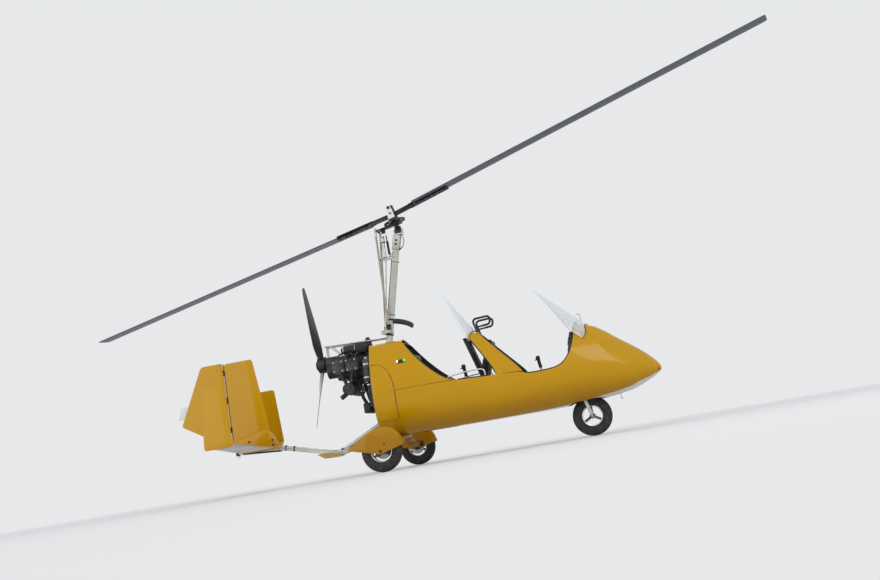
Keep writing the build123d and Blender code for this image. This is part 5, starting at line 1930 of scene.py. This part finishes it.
        finished(bolts, "engine_bolts", steel, slot="alloy")
        finished(leads, "plug_leads", lead, angle=60)
        finished(boots, "plug_boots", black)
        finished(boxes, "engine_boxes", black)
        finished(hoses, "engine_hoses", hose, slot="tyre_rubber", angle=60)
        finished(clamps, "engine_clamps", steel, slot="alloy")
        finished(struts, "engine_struts", pale, slot="frame_steel")
        exhaust_details(steel)
        radiator(black, steel)
        return {"FINISHED"}


def lines(black, ahead, way, length):
    """Air line and wiring up the mast, with their ties, and the loops below the head."""
    runs, ties = [], []
    turn = (0, math.atan2(way.x, way.z), 0)
    for offset, radius, reach in ((-0.013, 0.0034, 0.052), (0.013, 0.0034, 0.044)):
        top = MAST_TOP + ahead * 0.03 + way * 0.006 + xyz(0, offset, 0)
        low = MAST_FOOT + way * length * 0.932 + ahead * 0.04 + xyz(0, offset, 0)
        runs.append(pipe([
            top, top + ahead * 0.024, top.lerp(low, 0.35) + ahead * reach,
            top.lerp(low, 0.8) + ahead * reach * 0.8, low + ahead * 0.004, low - ahead * 0.01], radius))
    for share in (0.6, 0.865, 0.93):
        at = MAST_FOOT + way * length * share
        ties.append(block(at, (0.079 if share < 0.9 else 0.086, 0.053, 0.007), bevel=0.0015, turn=turn))
    for offset in (-0.01, 0.01):
        rear = [
            MAST_FOOT + way * length * share - ahead * 0.0385 + xyz(0, offset, 0)
            for share in (0.53, 0.6, 0.72, 0.865, 0.915)]
        runs.append(pipe(rear, 0.0032))
    finished([*runs, *ties], "mast_lines", black, angle=60)


def head(dark):
    """Bearing cap, pin nuts and bolts of the head's bridge and tower."""
    parts, tower = [], []
    parts += [
        bolt(HUB + TILT_X * x + TILT_Z * -0.0995 + xyz(0, side * 0.036, 0), TILT_Z, 0.0065, 0.006)
        for x in (-0.045, 0.055) for side in SIDES]
    parts += [bolt((0.062, side * 0.0405, 2.504), (0, side, 0), 0.011, 0.008) for side in SIDES]
    parts.append(turned_part([
        (0.0, 0.0455), (0.0, 0.0485), (0.01, 0.0485), (0.012, 0.0455)], HUB + TILT_Z * -0.1, TILT_Z, 48))
    finished(parts, "head_bolts", dark, body="rotor_head", slot="dark_steel")
    turn = Matrix.Rotation(ROTOR_TURN, 3, TILT_Z)
    for side in SIDES:
        across = turn @ xyz(0, side, 0)
        at = HUB + TILT_Z * 0.085 + across * 0.0465
        tower += [
            bolt(at, across, 0.012, 0.009),
            bolt(HUB + TILT_Z * 0.02 + across * 0.0465, across, 0.008, 0.006)]
    teeth = []
    for k in range(90):
        angle = 2 * math.pi * k / 90
        out = TILT_X * math.cos(angle) + xyz(0, 1, 0) * math.sin(angle)
        teeth.append(block(
            HUB + out * 0.1172 + TILT_Z * -0.08, (0.0035, 0.0035, 0.009), bevel=0.0006, turn=(0, -TILT, angle)))
    finished(tower, "tower_bolts", dark, body="rotor_hub", slot="dark_steel")
    finished(teeth, "starter_ring_teeth", dark, body="rotor_hub", slot="dark_steel")


def straps(dark):
    """Through bolts of the blade straps and the hub bar, above and below."""
    parts = []
    for span, chord, up in blade_frames():
        parts += [
            bolt(HUB + span * reach + chord * 0.002 + up * face * 0.0178, up * face, 0.008, 0.007)
            for reach in (0.335, 0.4, 0.465, 0.53, 0.595, 0.66) for face in (1, -1)]
        parts += [
            bolt(HUB + span * reach + up * face * 0.0178, up * face, 0.009, 0.007) for reach in (0.235, 0.265)
            for face in (1, -1)]
    finished(parts, "blade_strap_bolts", dark, body="rotor", slot="dark_steel")


class GYRO_OT_mast_details(bpy.types.Operator):
    """Bolts, clamp, hoses, rod ends and strap bolts on the mast and head"""

    bl_idname = "gyro.mast_details"
    bl_label = "Mast and head details"

    def execute(self, context):
        dark = cast_metal("dark_mast_bolts", (0.05, 0.05, 0.055), 0.42, 0.85)
        bright = brushed_metal("chrome_rod_ends", (0.7, 0.7, 0.69), 0.2, (1, 1, 1))
        black = moulded_black("boot_rubber", (0.013, 0.013, 0.014), 0.6)
        way = (MAST_TOP - MAST_FOOT).normalized()
        ahead = xyz(way.z, 0, -way.x)
        length = (MAST_TOP - MAST_FOOT).length
        bolts, boots, ends = [], [], []
        for share in (0.515, 0.545, 0.955, 0.975):
            for side in SIDES:
                at = MAST_FOOT + way * length * share + xyz(0, side * (0.0335 if share > 0.9 else 0.0255), 0)
                bolts.append(bolt(at, (0, side, 0), 0.009, 0.007))
        for share in (0.5, 0.575):
            at = MAST_FOOT + way * length * share
            band = block(at, (0.072, 0.058, 0.02), bevel=0.004, turn=(0, math.atan2(way.x, way.z), 0))
            boots.append(band)
        for side, low_x in ((-1, -0.196), (1, -0.262)):
            low = xyz(low_x, side * 0.07, 1.425)
            high = xyz(-0.162, side * 0.112, 2.5)
            run = (high - low).normalized()
            boots += [
                turned_part(
                    [(0, 0.012), (0, 0.016), (0.004, 0.018), (0.008, 0.016), (0.008, 0.012)],
                    low + run * (0.012 + 0.0085 * k), run, 28)
                for k in range(7)]
            ends += [
                turned_part([
                    (-0.045, 0.0112), (-0.045, 0.0145), (-0.004, 0.0145),
                    (0.0, 0.0112)], high - run * 0.018, run, 28),
                bolt((-0.162, side * 0.1235, 2.512), (0, side, 0), 0.01, 0.009),
                bolt((-0.162, side * 0.1005, 2.512), (0, -side, 0), 0.01, 0.006)]
        boots += [
            turned_part([
                (0, 0.0172), (0, radius), (0.006, radius), (0.008, 0.0172)], (TRIM_X, 0, z), (0, 0, 1), 40)
            for z, radius in ((2.2145, 0.026), (2.378, 0.0275), (2.432, 0.025))]
        for k in range(6):
            angle = 2 * math.pi * k / 6
            bolts.append(bar(
                (TRIM_X + 0.021 * math.cos(angle), 0.021 * math.sin(angle), 2.4484),
                (TRIM_X + 0.021 * math.cos(angle), 0.021 * math.sin(angle), 2.455), 0.0032, sides=6))
        ends += [
            bolt((-0.0722, -0.0135, 2.228), (0, -1, 0), 0.008, 0.006),
            bolt((-0.0772, -0.0125, 2.452), (0, -1, 0), 0.007, 0.005)]
        bolts += [
            bolt((x, side * 0.0222, 2.2), (0, side, 0), 0.007, 0.006) for x in (-0.175, -0.03)
            for side in SIDES]
        bolts += [
            bolt((x, side * 0.074, 1.4332), (0, 0, 1), 0.009, 0.007) for x in (-0.262, -0.194)
            for side in SIDES]
        finished(bolts, "mast_bolts", dark, slot="dark_steel")
        finished(boots, "mast_boots_and_bands", black)
        finished(ends, "rod_end_fittings", bright, slot="alloy")
        lines(black, ahead, way, length)
        head(dark)
        straps(dark)
        return {"FINISHED"}


class GYRO_OT_tail_details(bpy.types.Operator):
    """Hinges, control links, sleeve and bolts of the tail, and the keel's clamps"""

    bl_idname = "gyro.tail_details"
    bl_label = "Tail details"

    def execute(self, context):
        dark = cast_metal("dark_tail_fittings", (0.035, 0.035, 0.04), 0.45, 0.8)
        steel = brushed_metal("link_steel", (0.55, 0.55, 0.52), 0.3)
        black = moulded_black("tail_black", (0.013, 0.013, 0.014), 0.55)
        parts, links, blacks = [], [], []
        parts += [block((-2.089, 0, z), (0.016, 0.014, 0.044), bevel=0.002) for z in (0.7, 1.02, 1.32)]
        blacks.append(block((-2.0875, 0, 0.99), (0.008, 0.009, 0.85), bevel=0.001))
        parts += [
            block((-2.094, 0, 0.506), (0.052, 0.038, 0.0125)),
            ring((RUDDER_HINGE, 0, 0.4998), (0, 0, 1), 0, 0.0125, 0.009, 0.0195, 40)]
        parts += [
            bolt((x, side * 0.0365, z), (0, side, 0), 0.008, 0.006)
            for x, z in ((-1.64, 0.47), (-1.9, 0.48), (-1.64, 0.52), (-1.9, 0.54)) for side in SIDES]
        blacks += [
            block((-1.78, 0, 0.4085), (0.42, 0.064, 0.018), bevel=0.005, turn=(0, KEEL_RISE, 0)),
            block((-2.05, 0, 0.446), (0.034, 0.058, 0.064), bevel=0.006, turn=(0, KEEL_RISE, 0))]
        blacks += [
            block(
                (x, 0, z), (0.018, 0.055, 0.056), bevel=0.004, turn=(0, math.radians(-7 if x > -1 else 12), 0))
            for x, z in ((-0.56, 0.322), (-1.42, 0.39), (-1.51, 0.412))]
        for side in SIDES:
            links.append(pipe(mirrored(
                side, (-0.42, 0.03, 0.352), (-0.6, 0.031, 0.33), (-0.9, 0.031, 0.29), (-1.15, 0.031, 0.322),
                (-1.5, 0.031, 0.416), (-1.9, 0.031, 0.446), (-2.06, 0.033, 0.47)), 0.0024))
            parts += [
                bolt((-2.05, side * 0.0285, 0.445), (0, side, 0), 0.007, 0.005),
                bolt((-0.9, side * 0.0255, 0.3), (0, side, 0), 0.009, 0.006)]
        finished(parts, "tail_hinges_and_bolts", dark, slot="dark_steel")
        finished(links, "rudder_lines", steel, slot="alloy", angle=60)
        finished(blacks, "keel_clamps", black)
        pin = [
            bar((RUDDER_HINGE, 0, 0.4945), (RUDDER_HINGE, 0, 0.556), 0.0078, bevel=0.001),
            block((-2.128, 0, 0.534), (0.06, 0.03, 0.01))]
        pin += [
            block((-2.099, 0, z + dz), (0.014, 0.012, 0.008), bevel=0.002) for z in (0.7, 1.02, 1.32)
            for dz in (-0.027, 0.027)]
        finished(pin, "rudder_pins", dark, body="rudder", slot="dark_steel")
        return {"FINISHED"}


class GYRO_OT_gear_details(bpy.types.Operator):
    """Brake discs, callipers, lines and the fork's bolts"""

    bl_idname = "gyro.gear_details"
    bl_label = "Gear details"

    def execute(self, context):
        disc = brushed_metal("brake_disc_steel", (0.42, 0.42, 0.41), 0.3, (1, 60, 1))
        dark = cast_metal("calliper_casting", (0.07, 0.07, 0.075), 0.45, 0.7)
        black = moulded_black("brake_line_rubber", (0.013, 0.013, 0.014), 0.6)
        for name, (body, x, y) in WHEELS.items():
            if name == "nose":
                continue
            side = math.copysign(1, y)
            at = (x, y - side * 0.045, WHEEL_R)
            disc_parts = [
                ring(at, (0, 1, 0), -0.002, 0.002, 0.04, 0.078, 72),
                ring(at, (0, 1, 0), -0.0025, 0.0025, 0.0104, 0.044, 48)]
            finished(disc_parts, f"brake_disc_{name}", disc, body=body, slot="alloy")
        callipers, lines = [], []
        for side in SIDES:
            callipers += [
                block((-0.215, side * 0.806, 0.226), (0.04, 0.012, 0.058), bevel=0.004),
                block((-0.25, side * 0.797, 0.212), (0.07, 0.008, 0.03))]
            lines.append(pipe(mirrored(
                side, (-0.212, 0.8, 0.256), (-0.225, 0.77, 0.268), (-0.248, 0.7, 0.246), (-0.24, 0.42, 0.293),
                (-0.214, 0.12, 0.338), (-0.2, 0.06, 0.345)), 0.0035))
        axis = xyz(-math.sin(STEER_RAKE), 0, math.cos(STEER_RAKE))
        hub = xyz(1.72, 0, WHEEL_R)
        nuts = []
        for side in SIDES:
            nuts.append(bolt((1.72, side * 0.0765, WHEEL_R), (0, side, 0), 0.012, 0.009))
            nuts += [
                bolt(hub + axis * up + xyz(0, side * 0.0755, 0), (0, side, 0), 0.0065, 0.005)
                for up in (0.205, 0.18)]
        nuts.append(block(hub + axis * 0.2245, (0.036, 0.06, 0.012), turn=(0, -STEER_RAKE, 0)))
        finished(callipers, "brake_callipers", dark, slot="dark_steel")
        finished(lines, "brake_lines", black, angle=60)
        finished(nuts, "fork_bolts", dark, body="nose_fork", slot="dark_steel")
        return {"FINISHED"}


class GYRO_OT_carried_finishes(bpy.types.Operator):
    """Materials of the CAD nodes that keep their own shape"""

    bl_idname = "gyro.carried_finishes"
    bl_label = "Finishes of carried-over nodes"

    def execute(self, context):
        colours = context.scene.gyro_colours
        steel = brushed_metal("stainless_frame", colours.steel, 0.34, (1, 1, 40))
        dark = cast_metal("dark_fittings", (0.055, 0.055, 0.06), 0.45, 0.8)
        black = moulded_black("black_liner")
        alloy = brushed_metal("plain_alloy", (0.66, 0.66, 0.65), 0.36)
        engine = cast_metal("engine_casting", (0.085, 0.086, 0.09), 0.5, 0.6)
        # The exhaust is darker than bare steel: partly its own colour, partly painted shade for the deep shade
        # round the engine.
        exhaust = cast_metal("exhaust_skin", (0.1, 0.088, 0.08), 0.55, 0.7)
        rods = brushed_metal("rod_paint", (0.44, 0.41, 0.34), 0.5, (1, 1, 40), 0.45)
        groups = {
            steel: ("mast", "keel_tube", "mast_fittings", "engine_mount", "nose_fork"),
            alloy: ("prerotator_shaft",), rods: ("push_rods",),
            dark: (
                "trim_cylinder", "gimbal_block", "head_bridge", "hub_bar", "prop_hub", "stub_axles",
                "grab_hoops"),
            tower_metal(): ("rotor_tower",),
            black: ("bulkhead", "belly_tunnel", "wheel_well", "intake", "instrument_panel"),
            engine: ("engine_case", "gearbox", "cylinders", "radiator", "oil_tank"), exhaust: ("exhaust",)}
        for material, names in groups.items():
            for name in names:
                node = frame["nodes"][name]
                node.data.materials.clear()
                node.data.materials.append(material)
        return {"FINISHED"}


class GYRO_PT_panel(bpy.types.Panel):
    """Lists the operators that make the pieces"""

    bl_label = "Gyrocopter"
    bl_idname = "GYRO_PT_panel"
    bl_space_type = "VIEW_3D"
    bl_region_type = "UI"
    bl_category = "Gyrocopter"

    def draw(self, context):
        for operator in OPERATORS:
            self.layout.operator(operator.bl_idname)


OPERATORS = (
    GYRO_OT_stage,
    GYRO_OT_carried_finishes,
    GYRO_OT_fuselage,
    GYRO_OT_tail,
    GYRO_OT_wheels,
    GYRO_OT_gear,
    GYRO_OT_rotor,
    GYRO_OT_propeller,
    GYRO_OT_windshields,
    GYRO_OT_lights,
    GYRO_OT_seats,
    GYRO_OT_cockpits,
    GYRO_OT_body_fittings,
    GYRO_OT_engine_details,
    GYRO_OT_mast_details,
    GYRO_OT_tail_details,
    GYRO_OT_gear_details,
)
CLASSES = (GyroSizes, GyroColours, *OPERATORS, GYRO_PT_panel)


def register():
    for item in CLASSES:
        bpy.utils.register_class(item)
    bpy.types.Scene.gyro_sizes = bpy.props.PointerProperty(type=GyroSizes)
    bpy.types.Scene.gyro_colours = bpy.props.PointerProperty(type=GyroColours)


def unregister():
    del bpy.types.Scene.gyro_sizes
    del bpy.types.Scene.gyro_colours
    for item in reversed(CLASSES):
        bpy.utils.unregister_class(item)


def main():
    register()
    for operator in OPERATORS:
        group, name = operator.bl_idname.split(".")
        getattr(getattr(bpy.ops, group), name)()


if __name__ == "__main__":
    main()
